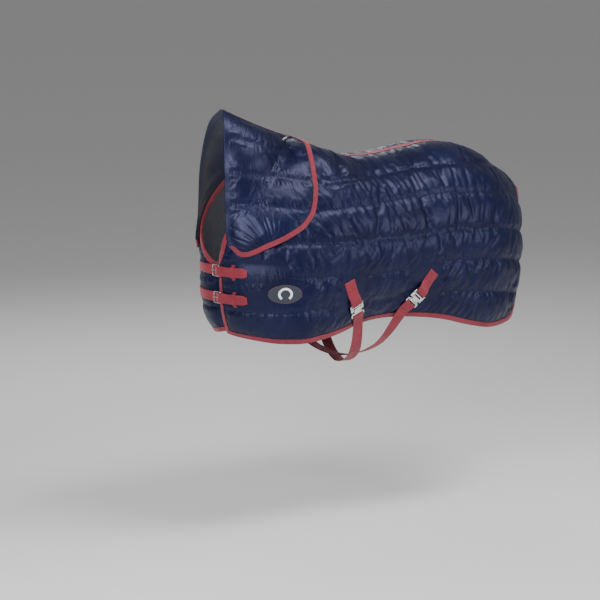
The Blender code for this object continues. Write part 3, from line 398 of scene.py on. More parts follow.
def node(tree, kind, **sockets):
    """A shader node with its inputs set or joined by name."""
    made = tree.nodes.new(kind)
    for key, value in sockets.items():
        if hasattr(made, key) and key not in made.inputs:
            setattr(made, key, value)
            continue
        socket = made.inputs[key.replace("_", " ")] if key.replace("_", " ") in made.inputs \
            else made.inputs[int(key[1:])]
        if isinstance(value, bpy.types.NodeSocket):
            tree.links.new(value, socket)
        else:
            socket.default_value = value
    return made


def finish_of(name):
    made = bpy.data.materials.new(name)
    made.use_nodes = True
    return made, made.node_tree, made.node_tree.nodes["Principled BSDF"]


def blend_of(tree, kind, a, b, factor=None):
    """Math of two values or sockets."""
    made = tree.nodes.new("ShaderNodeMath")
    made.operation = kind
    for socket, value in zip(made.inputs, (a, b, factor)):
        if value is None:
            continue
        if isinstance(value, bpy.types.NodeSocket):
            tree.links.new(value, socket)
        else:
            socket.default_value = value
    return made.outputs[0]


def colours_of(tree, value, stops):
    ramp = tree.nodes.new("ShaderNodeValToRGB")
    tree.links.new(value, ramp.inputs[0])
    while len(ramp.color_ramp.elements) < len(stops):
        ramp.color_ramp.elements.new(0.5)
    for element, (place, colour) in zip(ramp.color_ramp.elements, stops):
        element.position = place
        element.color = (*colour, 1.0)
    return ramp.outputs[0]


def coloured(tree, shader, pattern, dark, light):
    """Base colour running from dark to light with a pattern."""
    stops = ((0.3, dark), (0.7, light))
    tree.links.new(colours_of(tree, pattern, stops), shader.inputs["Base Color"])


def roughened(tree, shader, pattern, low, high, stops=(0.3, 0.7)):
    """Roughness running from low to high with a pattern."""
    greys = ((stops[0], (low,) * 3), (stops[1], (high,) * 3))
    tree.links.new(colours_of(tree, pattern, greys), shader.inputs["Roughness"])


def noise_at(tree, where, scale, detail=3.0, rough=0.5):
    made = tree.nodes.new("ShaderNodeTexNoise")
    tree.links.new(where, made.inputs["Vector"])
    made.inputs["Scale"].default_value = scale
    made.inputs["Detail"].default_value = detail
    made.inputs["Roughness"].default_value = rough
    return made.outputs["Fac"]


def stretched(tree, where, size, turn=0.0):
    made = tree.nodes.new("ShaderNodeMapping")
    tree.links.new(where, made.inputs["Vector"])
    made.inputs["Scale"].default_value = size
    made.inputs["Rotation"].default_value = (0.0, 0.0, math.radians(turn))
    return made.outputs["Vector"]


def bumped(tree, height, distance, strength=1.0, under=None):
    made = tree.nodes.new("ShaderNodeBump")
    tree.links.new(height, made.inputs["Height"])
    made.inputs["Distance"].default_value = distance
    made.inputs["Strength"].default_value = strength
    if under is not None:
        tree.links.new(under, made.inputs["Normal"])
    return made.outputs["Normal"]


def nylon_finish(name, deep, lit, roughness):
    """Proofed plain-weave nylon: fine threads, crisp small creases and puckers along the rows."""
    made, tree, shader = finish_of(name)
    cloth = node(tree, "ShaderNodeUVMap", uv_map="cloth").outputs["UV"]
    spot = node(tree, "ShaderNodeTexCoord").outputs["Object"]
    near_row = node(tree, "ShaderNodeAttribute", attribute_name="row").outputs["Fac"]
    shade = noise_at(tree, spot, 7.0, 4.0)
    colour = colours_of(tree, shade, ((0.30, deep), (0.72, lit)))
    tree.links.new(colour, shader.inputs["Base Color"])
    rub = noise_at(tree, stretched(tree, spot, (3.0, 3.0, 6.0)), 9.0, 5.0, 0.6)
    gloss = tree.nodes.new("ShaderNodeMapRange")
    tree.links.new(rub, gloss.inputs["Value"])
    gloss.inputs["To Min"].default_value = roughness - 0.07
    gloss.inputs["To Max"].default_value = roughness + 0.10
    tree.links.new(gloss.outputs["Result"], shader.inputs["Roughness"])
    shader.inputs["IOR"].default_value = 1.42
    shader.inputs["Sheen Weight"].default_value = 0.04
    shader.inputs["Sheen Roughness"].default_value = 0.35
    shader.inputs["Specular Tint"].default_value = (0.60, 0.62, 1.0, 1.0)
    shader.inputs["Sheen Tint"].default_value = (0.30, 0.36, 0.75, 1.0)
    # Puckers square to the rows: drawn out down the cloth, strongest beside the stitching.
    pucker = noise_at(tree, stretched(tree, cloth, (62.0, 9.0, 1.0)), 1.0, 3.0, 0.55)
    pucker = blend_of(tree, "MULTIPLY", pucker, near_row)
    crease = tree.nodes.new("ShaderNodeTexNoise")
    crease.noise_type = "RIDGED_MULTIFRACTAL"
    tree.links.new(stretched(tree, cloth, (1.0, 0.55, 1.0), 35.0), crease.inputs["Vector"])
    crease.inputs["Scale"].default_value = 11.0
    crease.inputs["Detail"].default_value = 5.0
    weave = tree.nodes.new("ShaderNodeTexWave")
    weave.wave_profile = "SIN"
    tree.links.new(cloth, weave.inputs["Vector"])
    weave.inputs["Scale"].default_value = 420.0
    weft = tree.nodes.new("ShaderNodeTexWave")
    weft.bands_direction = "Y"
    tree.links.new(cloth, weft.inputs["Vector"])
    weft.inputs["Scale"].default_value = 420.0
    threads = blend_of(tree, "MULTIPLY", weave.outputs["Fac"], weft.outputs["Fac"])
    first = bumped(tree, pucker, 0.0042)
    second = bumped(tree, crease.outputs["Fac"], 0.0011, 0.8, first)
    third = bumped(tree, threads, 0.00010, 0.6, second)
    tree.links.new(third, shader.inputs["Normal"])
    return made


def at_depth(grid, rim, field, row_share):
    """Back face of a layer: thin at the rim, drawn in at the quilting rows."""
    deep = rim + (field - rim) * ease(0.0, 0.035, grid["to_rim"])
    drawn = ease(0.030, 0.0, grid["to_line"]) * ease(0.0, 0.03, grid["to_rim"])
    deep = deep * (1.0 - row_share * drawn)
    return grid["face"] - grid["facing"] * deep[..., None]


def dressed(made, node_name, surface, body="rug"):
    """Finish of a piece that takes the place of its plain one."""
    made.data.materials.append(surface)
    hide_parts(node_name)
    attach(made, body)
    return made


panels = {}
navy_nylon = nylon_finish("navy_nylon", (0.0012, 0.0020, 0.0160), (0.0028, 0.0048, 0.0300), 0.35)
for side, label in ((NEAR, "near"), (OFF, "off")):
    grid = panel_grid(side)
    grid["outer"] = quilted(grid)
    grid["back"] = at_depth(grid, RIM_THICKNESS, FIELD_THICKNESS, 0.12)
    panels[side] = grid
    normal = grid_normals(grid["outer"], grid["facing"])
    inner = grid["outer"] - normal * SHELL_CLOTH
    row_mark = ease(0.055, 0.004, grid["to_line"])
    shell = sheet_mesh(label + "_shell", grid["outer"], inner, grid["facing"], {"row": row_mark})
    dressed(shell, label + "_outer_shell", navy_nylon)


# ------------------------------------------------------------------ linings and waddings of the rug
# A smooth nylon lining sewn to the shell at the rims and rows, with soft white polyester wadding
# between the two.

LINING_CLOTH = 0.0008
PLY_GAP = 0.0004


def lining_finish(name):
    made, tree, shader = finish_of(name)
    cloth = node(tree, "ShaderNodeUVMap", uv_map="cloth").outputs["UV"]
    spot = node(tree, "ShaderNodeTexCoord").outputs["Object"]
    shade = noise_at(tree, spot, 9.0, 4.0)
    coloured(tree, shader, shade, (0.010, 0.013, 0.034), (0.016, 0.020, 0.048))
    roughened(tree, shader, noise_at(tree, cloth, 30.0, 3.0), 0.46, 0.60)
    shader.inputs["Sheen Weight"].default_value = 0.15
    weave = tree.nodes.new("ShaderNodeTexWave")
    tree.links.new(stretched(tree, cloth, (1.0, 1.0, 1.0), 45.0), weave.inputs["Vector"])
    weave.inputs["Scale"].default_value = 300.0
    soft = bumped(tree, noise_at(tree, cloth, 55.0, 3.0), 0.0016, 0.7)
    tree.links.new(bumped(tree, weave.outputs["Fac"], 0.00010, 0.5, soft), shader.inputs["Normal"])
    return made


def wadding_finish(name):
    made, tree, shader = finish_of(name)
    spot = node(tree, "ShaderNodeTexCoord").outputs["Object"]
    fibres = noise_at(tree, spot, 260.0, 6.0, 0.7)
    coloured(tree, shader, fibres, (0.70, 0.71, 0.72), (0.86, 0.86, 0.85))
    roughened(tree, shader, fibres, 0.85, 1.0, (0.2, 0.8))
    shader.inputs["Sheen Weight"].default_value = 0.3
    tree.links.new(bumped(tree, fibres, 0.0012), shader.inputs["Normal"])
    return made


def lowest_around(values):
    """Lowest of each value's neighbours, so a coarser layer stays under a finer one."""
    for _ in range(3):
        for axis in (0, 1):
            ahead = np.concatenate([values[1:], values[-1:]]) if axis == 0 else \
                np.concatenate([values[:, 1:], values[:, -1:]], 1)
            behind = np.concatenate([values[:1], values[:-1]]) if axis == 0 else \
                np.concatenate([values[:, :1], values[:, :-1]], 1)
            values = np.minimum(values, np.minimum(ahead, behind))
    return values


def fill_layers(label, grid, first=0):
    """Lining and wadding behind one finished shell. The wadding starts
    first rows in from the front edge and the crest."""
    part = (slice(None, None, 2), slice(None, None, 2))
    face, facing = grid["face"][part], grid["facing"][part]
    away = lowest_around(((grid["outer"] - grid["face"]) * grid["facing"]).sum(-1))[part]
    deep = ((grid["face"] - grid["back"]) * grid["facing"]).sum(-1)[part]
    marks = {"row": ease(0.055, 0.004, grid["to_line"])[part]}
    lining = sheet_mesh(label + "_lining_cloth", face - facing * (deep - LINING_CLOTH)[..., None],
                        face - facing * deep[..., None], facing, marks)
    dressed(lining, label + "_lining", navy_lining)
    low = -(deep - LINING_CLOTH - PLY_GAP)
    high = np.maximum(away - SHELL_CLOTH - 3.0 * PLY_GAP, low + 0.0004)
    edge = ease(0.004, 0.0, grid["to_rim"][part])
    high = high * (1.0 - edge) + (-SHELL_CLOTH - PLY_GAP) * edge
    fill = sheet_mesh(label + "_wadding_fill", (face + facing * high[..., None])[first:, first:],
                      (face + facing * low[..., None])[first:, first:], facing[first:, first:])
    dressed(fill, label + "_wadding", white_wadding)


navy_lining = lining_finish("navy_lining")
white_wadding = wadding_finish("white_wadding")
fill_layers("near", panels[NEAR])
fill_layers("off", panels[OFF])


# ------------------------------------------------------------------ neck cover
# A quilted cover in two halves, sewn down over the neckline and joined along the crest, its rear
# and lower edges lying loose over the withers and shoulders.

NECK_ROWS = (0.0, 0.074, 0.36, 0.68)
NECK_LIFT = 0.0085
NECK_EDGE_RISE = 0.0150
NECK_SEAM_RISE = 0.0125
NECK_COLUMNS_AT = (2.0, 2.5, 3.0, 3.5, 4.0, 4.5, 5.0, 5.5, 5.75)
CREST_REACH = (0.386, 0.335, 0.285, 0.235, 0.185, 0.140, 0.100, 0.065, 0.042)
NECK_LOWER_EDGE = ((1.97, 0.115), (2.20, 0.230), (2.61, 0.278), (3.20, 0.303), (3.70, 0.325),
                   (4.10, 0.338), (4.45, 0.348), (4.75, 0.344), (4.93, 0.335))
NECK_REAR_EDGE = ((6.40, 0.0), (6.39, 0.016), (6.37, 0.035), (6.34, 0.062), (6.28, 0.095),
                  (6.16, 0.125), (5.93, 0.176), (5.64, 0.235), (5.38, 0.282), (5.12, 0.315))
NECK_QUILT_LINES = ((0.058, -0.058), (-0.086, -0.152), (-0.219, -0.257))
NECK_MESH = (150, 170)


def on_rug(u, v, rise):
    """Point standing off the rug's face, on the middle line where v is 0."""
    place = form(np.array([u]), np.array([v]))[0].copy()
    normal = form_facing(np.array([u]), np.array([v]))[0].copy()
    if u >= WITHERS_LINE and v < 1e-6:
        place[1] = 0.0006
        normal[1] = 0.0
        normal /= np.linalg.norm(normal)
    place[1] = abs(place[1])
    return place + normal * rise, normal


def neck_controls():
    """Control points of one half, crest to loose edge, front to rear."""
    table = []
    for k, u in enumerate(NECK_COLUMNS_AT):
        reach = CREST_REACH[k]
        t = (reach - 0.018) / (CREST_REACH[0] - 0.018)
        crest = np.array((-reach, 0.0006, 0.012 + 0.136 * t ** 1.25))
        seam_rise = NECK_SEAM_RISE if u <= 5.5 else 0.8 * NECK_EDGE_RISE
        seam, _ = on_rug(u, 0.0, seam_rise)
        column = []
        for share in NECK_ROWS:
            angle = 0.5 * math.pi * share
            out, down = math.sin(angle) ** 0.85, math.cos(angle) ** 0.85
            column.append((crest[0] + (seam[0] - crest[0]) * out,
                           crest[1] + (seam[1] - crest[1]) * out,
                           seam[2] + (crest[2] - seam[2]) * down))
        column.append(seam)
        end_u, end_v = NECK_LOWER_EDGE[k]
        rises = [max(0.0165, seam_rise)] + [NECK_LIFT + FIELD_THICKNESS] * 3 + [NECK_EDGE_RISE]
        width = np.linalg.norm(on_rug(end_u, end_v, 0.0)[0] - on_rug(u, 0.0, 0.0)[0])
        first = min(0.35, max(0.10, 0.015 / width))
        for row, rise in enumerate(rises):
            share = first + (1.0 - first) * row / 4.0
            column.append(on_rug(u + (end_u - u) * share, end_v * share, rise)[0])
        table.append(column)
    table.append([on_rug(u, v, NECK_EDGE_RISE)[0] for u, v in NECK_REAR_EDGE])
    table = np.array(table)
    # The cover bridges the hollow between neck and shoulder, so its seam row is drawn out of it.
    for row, share in ((4, 0.65), (5, 0.5)):
        between = 0.5 * (table[:-1, row - 1] + table[:-1, row + 1])
        table[:-1, row] += share * (between - table[:-1, row])
    return table


def resampled(points, count, axis):
    """Smooth curve through rows of control points, evenly spread along its length."""
    points = np.moveaxis(points, axis, 0)
    last = len(points) - 1
    before, beyond = 2 * points[:1] - points[1:2], 2 * points[-1:] - points[-2:-1]
    padded_ends = np.concatenate([before, points, beyond])
    travel = np.linspace(0.0, last, 16 * last + 1)
    step = np.minimum(travel.astype(int), last - 1)
    t = (travel - step).reshape((-1,) + (1,) * (points.ndim - 1))
    fine = smooth_between(padded_ends[step], padded_ends[step + 1], padded_ends[step + 2],
                          padded_ends[step + 3], t)
    steps = lengths(np.diff(fine, axis=0)).reshape(len(fine) - 1, -1).mean(-1)
    run = np.concatenate([[0.0], np.cumsum(steps)])
    at = np.interp(np.linspace(0.0, run[-1], count), run, np.arange(len(fine)))
    low = np.minimum(at.astype(int), len(fine) - 2)
    part = (at - low).reshape((-1,) + (1,) * (points.ndim - 1))
    return np.moveaxis(fine[low] * (1.0 - part) + fine[low + 1] * part, 0, axis)


def neck_half(side):
    face = resampled(resampled(neck_controls(), NECK_MESH[0], 0), NECK_MESH[1], 1)
    normal = units(np.cross(np.gradient(face, axis=0), np.gradient(face, axis=1)))
    outward = face - np.array((-0.15, 0.0, -0.30))
    normal = np.where(((normal * outward).sum(-1) < 0.0)[..., None], -normal, normal)
    normal[:, 0] = units(normal[:, 0] * (1.0, 0.0, 1.0))
    face = face * (1.0, side, 1.0)
    normal = normal * (1.0, side, 1.0)
    seam = resampled(neck_controls()[:, 4:5], NECK_MESH[0], 0)[:, 0] * (1.0, side, 1.0)
    rim = np.vstack([face[0], face[-1], face[:, 0], face[:, -1]])
    x, z = face[..., 0], face[..., 2]
    rows = np.full(x.shape, 1.0)
    for front, rear in NECK_QUILT_LINES:
        level = front + (rear - front) * (x + 0.44) / 0.38
        rows = np.minimum(rows, np.abs(z - level) + 0.02 * (x > -0.03))
    to_seam = nearest_way(face[:120], seam[:120])
    to_seam = np.concatenate([to_seam, np.full((NECK_MESH[0] - 120, NECK_MESH[1]), 1.0)])
    return {"side": side, "face": face, "facing": normal, "to_rim": nearest_way(face, rim),
            "to_line": rows, "to_seam": to_seam}


def neck_folds(face, side):
    """Straight packing creases and fine drags fanning from the lower front corner. Metres."""
    x, z = face[..., 0], face[..., 2]
    drag = noise_over((x + 0.45 * z) / 0.040, (z - 0.2 * x) / 0.22, 70.0 + side)
    height = 0.0012 * (1.0 - 2.2 * np.abs(drag))
    for place in (-0.345, -0.335, -0.205, -0.196):
        height -= 0.0010 * np.exp(-(((x - place + 0.06 * z) / 0.0030) ** 2))
    turn = np.arctan2(z + 0.42, x + 0.30)
    reach = np.hypot(z + 0.42, x + 0.30)
    fan = 1.0 - 2.4 * np.abs(noise_over(turn / 0.11, reach / 0.3, 77.0 + side))
    return height + 0.0032 * fan * ease(0.24, 0.05, reach)


for side, label in ((NEAR, "near_neck"), (OFF, "off_neck")):
    grid = neck_half(side)
    face, facing = grid["face"], grid["facing"]
    free = ease(0.012, 0.045, grid["to_rim"])
    row = ease(0.024, 0.0, grid["to_line"])
    ripple = noise_over(face[..., 0] / 0.014, face[..., 2] / 0.09, 90.0 + side)
    away = free * (neck_folds(face, side) - QUILT_DIP * row
                   + 0.0007 * ripple * ease(0.045, 0.004, grid["to_line"]))
    start = face + facing * away[..., None]
    held = np.where((grid["to_rim"] < 0.022) | (grid["to_line"] < 0.004), 1.0, 0.0)
    settled = settle(label + "_cloth", start, held, facing, 3.0, 0.012, 0.004, 14)
    shift = ((settled - face) * facing).sum(-1)
    grid["outer"] = face + facing * shift[..., None]
    thick = RIM_THICKNESS + (FIELD_THICKNESS - RIM_THICKNESS) * ease(0.0, 0.035, grid["to_rim"]) \
        * (0.45 + 0.55 * ease(0.0, 0.030, grid["to_seam"])) * (1.0 - 0.12 * row)
    hem = ease(0.004, 0.020, nearest_way(face, face[0]))
    thick = thick * hem + 0.0019 * (1.0 - hem)
    grid["back"] = face - facing * thick[..., None]
    panels[label] = grid
    normal = grid_normals(grid["outer"], facing)
    inner = grid["outer"] - normal * SHELL_CLOTH
    shell = sheet_mesh(label + "_shell", grid["outer"], inner, facing,
                       {"row": ease(0.050, 0.004, grid["to_line"])})
    dressed(shell, label + "_outer_shell", navy_nylon)
    fill_layers(label, grid, 4)


# ------------------------------------------------------------------ edge bindings
# Burgundy polyester tape, folded over the raw edges and sewn through with two rows of stitching.
# The front, hem, tail and neckline of each half are one run, and each neck half has its own.

BINDING_TAPE = 0.0010
BINDING_GAP = 0.0009


def tape_finish(name, dark, light):
    """Woven polyester tape: fine cross ribs with a little fluff."""
    made, tree, shader = finish_of(name)
    cloth = node(tree, "ShaderNodeUVMap", uv_map="cloth").outputs["UV"]
    spot = node(tree, "ShaderNodeTexCoord").outputs["Object"]
    shade = noise_at(tree, spot, 24.0, 5.0)
    coloured(tree, shader, shade, dark, light)
    roughened(tree, shader, noise_at(tree, spot, 60.0, 3.0), 0.60, 0.82)
    shader.inputs["Sheen Weight"].default_value = 0.35
    shader.inputs["Sheen Tint"].default_value = (0.9, 0.45, 0.5, 1.0)
    ribs = tree.nodes.new("ShaderNodeTexWave")
    tree.links.new(cloth, ribs.inputs["Vector"])
    ribs.inputs["Scale"].default_value = 210.0
    ribs.inputs["Distortion"].default_value = 0.4
    lines = tree.nodes.new("ShaderNodeTexWave")
    lines.bands_direction = "Y"
    tree.links.new(cloth, lines.inputs["Vector"])
    lines.inputs["Scale"].default_value = 150.0
    grain = blend_of(tree, "ADD", ribs.outputs["Fac"], lines.outputs["Fac"])
    first = bumped(tree, noise_at(tree, spot, 70.0, 3.0), 0.0010, 0.6)
    tree.links.new(bumped(tree, grain, 0.00022, 0.8, first), shader.inputs["Normal"])
    return made


def tree_of(*grids):
    """Surface of point grids, to lay things on."""
    points, faces = [], []
    for grid in grids:
        faces += (cells_of(*grid.shape[:2]) + len(points)).tolist()
        points += grid.reshape(-1, 3).tolist()
    return BVHTree.FromPolygons(points, faces)


def evened(line, step):
    """Points of a line spread evenly, about step apart."""
    run = np.concatenate([[0.0], np.cumsum(lengths(np.diff(line, axis=0)))])
    count = max(2, int(round(run[-1] / step)) + 1)
    at = np.linspace(0.0, run[-1], count)
    return np.stack([np.interp(at, run, line[:, a]) for a in range(3)], -1)


def softened(values, times):
    for _ in range(times):
        inner = (values[:-2] + 2.0 * values[1:-1] + values[2:]) * 0.25
        values = np.concatenate([values[:1], inner, values[-1:]])
    return values


def folded_tape(name, face, back, rims, width=BINDING_WIDTH):
    """Tape folded over a panel's rim. rims is the list of index slices that the tape follows."""
    outer_tree, inner_tree = tree_of(face), tree_of(back)
    edge = np.concatenate([face[where] for where in rims])
    under = np.concatenate([back[where] for where in rims])
    keep = np.concatenate([[True], lengths(np.diff(edge, axis=0)) > 1e-6])
    edge, under = evened(edge[keep], 0.006), evened(under[keep], 0.006)
    under = evened(under, 0.006)
    shares, known = np.linspace(0, 1, len(edge)), np.linspace(0, 1, len(under))
    under = np.stack([np.interp(shares, known, under[:, a]) for a in range(3)], -1)
    along = units(softened(np.gradient(edge, axis=0), 2))
    top, low = [], []
    for k, place in enumerate(edge):
        base = inner_tree.find_nearest(Vector(place))[0]
        up = (Vector(place) - base).normalized()
        across = up.cross(Vector(along[k])).normalized()
        probe = outer_tree.find_nearest(Vector(place) + across * 0.012)[0]
        other = outer_tree.find_nearest(Vector(place) - across * 0.012)[0]
        if (probe - Vector(place)).length < (other - Vector(place)).length:
            across = -across
        high_row, low_row = [], []
        for gap, row in ((BINDING_GAP + BINDING_TAPE, high_row), (BINDING_GAP, low_row)):
            for tree, lift, start in ((outer_tree, up, Vector(place)), (inner_tree, -up, base)):
                leg = []
                for share in (1.0, 0.75, 0.5, 0.25, 0.08):
                    spot = start + across * width * share
                    leg.append(tree.find_nearest(spot)[0] + lift * gap)
                leg.append(start + lift * gap * 0.8 - across * gap * 0.7)
                row += leg if tree is outer_tree else leg[::-1]
        top.append([tuple(p) for p in high_row])
        low.append([tuple(p) for p in low_row])
    top, low = np.array(top), np.array(low)
    facing = units(top - low)
    return sheet_mesh(name, top, low, facing), top


burgundy_tape = tape_finish("burgundy_tape", (0.150, 0.006, 0.019), (0.215, 0.009, 0.027))
burgundy_webbing = tape_finish("burgundy_webbing", (0.170, 0.004, 0.017), (0.240, 0.007, 0.025))
stitch_paths = []
for side, label in ((NEAR, "near"), (OFF, "off")):
    grid = panels[side]
    neckline = int(np.searchsorted(grid["u"][:, 0], 5.5))
    rims = [(slice(neckline, 0, -1), 0), (0, slice(0, PANEL_ROWS - 1)),
            (slice(0, PANEL_COLUMNS - 1), -1), (-1, slice(PANEL_ROWS - 1, None, -1))]
    tape, top = folded_tape(label + "_binding", grid["outer"], grid["back"], rims)
    dressed(tape, label + "_edge_binding", burgundy_tape)
    stitch_paths += [top[:, 0] * 0.88 + top[:, 1] * 0.12, top[:, 11] * 0.88 + top[:, 10] * 0.12]
    grid = panels[label + "_neck"]
    rims = [(-1, slice(0, NECK_MESH[1] - 1)), (slice(NECK_MESH[0] - 1, None, -1), -1)]
    tape, top = folded_tape(label + "_neck_tape", grid["outer"], grid["back"], rims)
    dressed(tape, label + "_neck_binding", burgundy_tape)
    stitch_paths += [top[:, 0] * 0.88 + top[:, 1] * 0.12]


# ------------------------------------------------------------------ spine and crest tapes
# Flat tapes sewn over the two seams on the middle line, burgundy along the back and navy on the
# crest of the neck.

def ridge_tape(name, node_name, near, off, half, surface):
    trees = {NEAR: tree_of(near["outer"]), OFF: tree_of(off["outer"])}
    line = evened(near["outer"][:, 0] * (1.0, 0.0, 1.0), 0.008)
    along = units(softened(np.gradient(line, axis=0), 2))
    top, low = [], []
    for place, way in zip(line, along):
        up = Vector((-way[2], 0.0, way[0])).normalized()
        up = up if up.z > 0.0 else -up
        high_row, low_row = [], []
        for share in (-1.0, -0.66, -0.33, 0.0, 0.33, 0.66, 1.0):
            tree = trees[NEAR if share < 0.0 else OFF]
            spot = Vector((place[0], share * half, place[2]))
            hit = tree.find_nearest(spot)[0] if share else Vector(place)
            high_row.append(tuple(hit + up * (BINDING_GAP + BINDING_TAPE)))
            low_row.append(tuple(hit + up * BINDING_GAP))
        top.append(high_row)
        low.append(low_row)
    top, low = np.array(top), np.array(low)
    made = dressed(sheet_mesh(name, top, low, units(top - low)), node_name, surface)
    stitch_paths.append(top[:, 0] * 0.88 + top[:, 1] * 0.12)
    stitch_paths.append(top[:, 6] * 0.88 + top[:, 5] * 0.12)


def from_withers(grid):
    """The part of a half behind the withers, stopping at the tail binding."""
    x = grid["face"][:, 0, 0]
    keep = (grid["u"][:, 0] >= WITHERS_LINE) & (x < x[-1] - 0.021)
    return {"outer": grid["outer"][keep]}


ridge_tape("spine_tape", "spine_binding", from_withers(panels[NEAR]), from_withers(panels[OFF]),
           0.020, burgundy_tape)
crest = [{"outer": panels[label]["outer"][panels[label]["face"][:, 0, 0] < -0.040]} for label in
         ("near_neck", "off_neck")]
navy_tape = tape_finish("navy_tape", (0.004, 0.006, 0.020), (0.008, 0.012, 0.032))
ridge_tape("crest_tape", "neck_crest_tape", crest[0], crest[1], 0.020, navy_tape)


# ------------------------------------------------------------------ chest straps
# Two 40 mm webbing straps: the billet is sewn to the off half and runs through a steel buckle held
# by a folded chape on the near half, its tip under a narrow keeper.

CHEST_HALF = 0.020
WEBBING = 0.0016
SEWN_LIE = 0.0017 + 0.5 * WEBBING
BUCKLE_HEEL, BUCKLE_HEIGHT, BUCKLE_BAR = 0.040, 0.0072, 0.0021
rug_face = tree_of(panels[NEAR]["outer"], panels[OFF]["outer"])


class Frame:
    """Local directions of a strap: run along it, out of the rug, side across it."""

    def __init__(self, base, run, out):
        self.base = Vector(base)
        self.out = Vector(out).normalized()
        run = Vector(run)
        self.run = (run - self.out * run.dot(self.out)).normalized()
        self.side = self.out.cross(self.run)

    def at(self, s, h, l):
        return self.base + self.run * s + self.out * h + self.side * l

    def laid(self, s, h, l, grip=1.0):
        flat = self.at(s, 0.0, l)
        if grip > 0.0:
            hit = rug_face.ray_cast(flat + self.out * 0.12, -self.out, 0.30)[0]
            if hit is not None:
                flat = flat.lerp(hit, grip)
        return flat + self.out * h


def arc(centre, radius, start, end, steps):
    turns = [math.radians(start + (end - start) * k / steps) for k in range(steps + 1)]
    return [(centre[0] + radius * math.cos(a), centre[1] + radius * math.sin(a)) for a in turns]


def stepped(start, end, step):
    count = max(1, round(abs(end - start) / step))
    return [start + (end - start) * k / count for k in range(count + 1)]


def finer(path, step=0.004):
    """Path of (run, height) pairs with extra places on its longer stretches."""
    out = [path[0]]
    for (s0, h0), (s1, h1) in zip(path, path[1:]):
        count = max(1, int(math.hypot(s1 - s0, h1 - h0) / step))
        out += [(s0 + (s1 - s0) * m / count, h0 + (h1 - h0) * m / count) for m in range(1, count + 1)]
    return out


def ribbon_rows(frame, path, half, grip_at=None, width_at=None, thick=WEBBING, steps=8):
    """Upper and lower rows of a webbing band with softly rounded edges."""
    path = finer(path)
    top, low = [], []
    for k, (s, h) in enumerate(path):
        ahead, behind = path[min(k + 1, len(path) - 1)], path[max(k - 1, 0)]
        ds, dh = ahead[0] - behind[0], ahead[1] - behind[1]
        size = math.hypot(ds, dh)
        grip = grip_at(s) if grip_at else 0.0
        wide = half * (width_at(s) if width_at else 1.0)
        high_row, low_row = [], []
        for m in range(steps + 1):
            share = math.sin(0.5 * math.pi * (2.0 * m / steps - 1.0))
            body = 0.5 * thick * (1.0 if 0 < m < steps else 0.45)
            for sign, row in ((1.0, high_row), (-1.0, low_row)):
                run = s - sign * dh / size * body
                height = h + sign * ds / size * body
                row.append(tuple(frame.laid(run, height, wide * share, grip)))
        top.append(high_row)
        low.append(low_row)
    return np.array(top), np.array(low)


def ribbon(name, node_name, rows, body="rug"):
    top, low = rows
    return dressed(sheet_mesh(name, top, low, units(top - low)), node_name, burgundy_webbing,
                   body)


def box_stitch(frame, start, end, half, lift):
    """Sewn box with a cross from corner to corner, as lines lying on the band."""
    corners = [(start, -half), (end, -half), (end, half), (start, half), (start, -half)]
    lines = list(zip(corners, corners[1:]))
    lines += [((start, -half), (end, half)), ((start, half), (end, -half))]
    for a, b in lines:
        stitch_paths.append(np.array([frame.laid(a[0] + (b[0] - a[0]) * m / 12, lift,
                                                 a[1] + (b[1] - a[1]) * m / 12) for m in range(13)]))


def tip_width(s):
    """Share of the full width, drawn in towards the cut tip of a billet."""
    return 1.0 - 0.30 * float(ease(0.155, 0.170, np.array(s)))


def chest_grip(s):
    if s < 0.0:
        return float(ease(-0.040, -0.075, np.array(s)))
    return float(ease(0.055, 0.085, np.array(s)))


def polished(name, node_name, body, bevel):
    """Nickel-plated fitting made from its plain body with eased edges."""
    source = frame["nodes"][node_name].data
    work = bmesh.new()
    work.from_mesh(source)
    bmesh.ops.remove_doubles(work, verts=work.verts, dist=1e-5)
    bmesh.ops.recalc_face_normals(work, faces=work.faces)
    bmesh.ops.dissolve_limit(work, angle_limit=math.radians(1.0), verts=work.verts,
                             edges=work.edges)
    if bevel:
        sharp = [edge for edge in work.edges
                 if len(edge.link_faces) == 2 and edge.calc_face_angle(0.0) > math.radians(28)]
        bmesh.ops.bevel(work, geom=sharp, offset=bevel, segments=3, affect="EDGES",
                        clamp_overlap=True)
    bmesh.ops.triangulate(work, faces=[f for f in work.faces if len(f.verts) > 4])
    mesh = bpy.data.meshes.new(name)
    work.to_mesh(mesh)
    work.free()
    mesh.shade_smooth()
    mesh.set_sharp_from_angle(angle=math.radians(40))
    made = bpy.data.objects.new(name, mesh)
    bpy.context.scene.collection.objects.link(made)
    return dressed(made, node_name, nickel, body)


def nickel_finish(name):
    """Nickel-plated steel with fine scratches and slightly duller patches."""
    made, tree, shader = finish_of(name)
    spot = node(tree, "ShaderNodeTexCoord").outputs["Object"]
    shader.inputs["Metallic"].default_value = 1.0
    shade = noise_at(tree, spot, 40.0, 4.0)
    coloured(tree, shader, shade, (0.60, 0.60, 0.59), (0.74, 0.74, 0.72))
    rub = noise_at(tree, stretched(tree, spot, (1.0, 1.0, 6.0)), 120.0, 5.0, 0.7)
    roughened(tree, shader, rub, 0.18, 0.36, (0.3, 0.75))
    tree.links.new(bumped(tree, rub, 0.00006, 0.5), shader.inputs["Normal"])
    return made


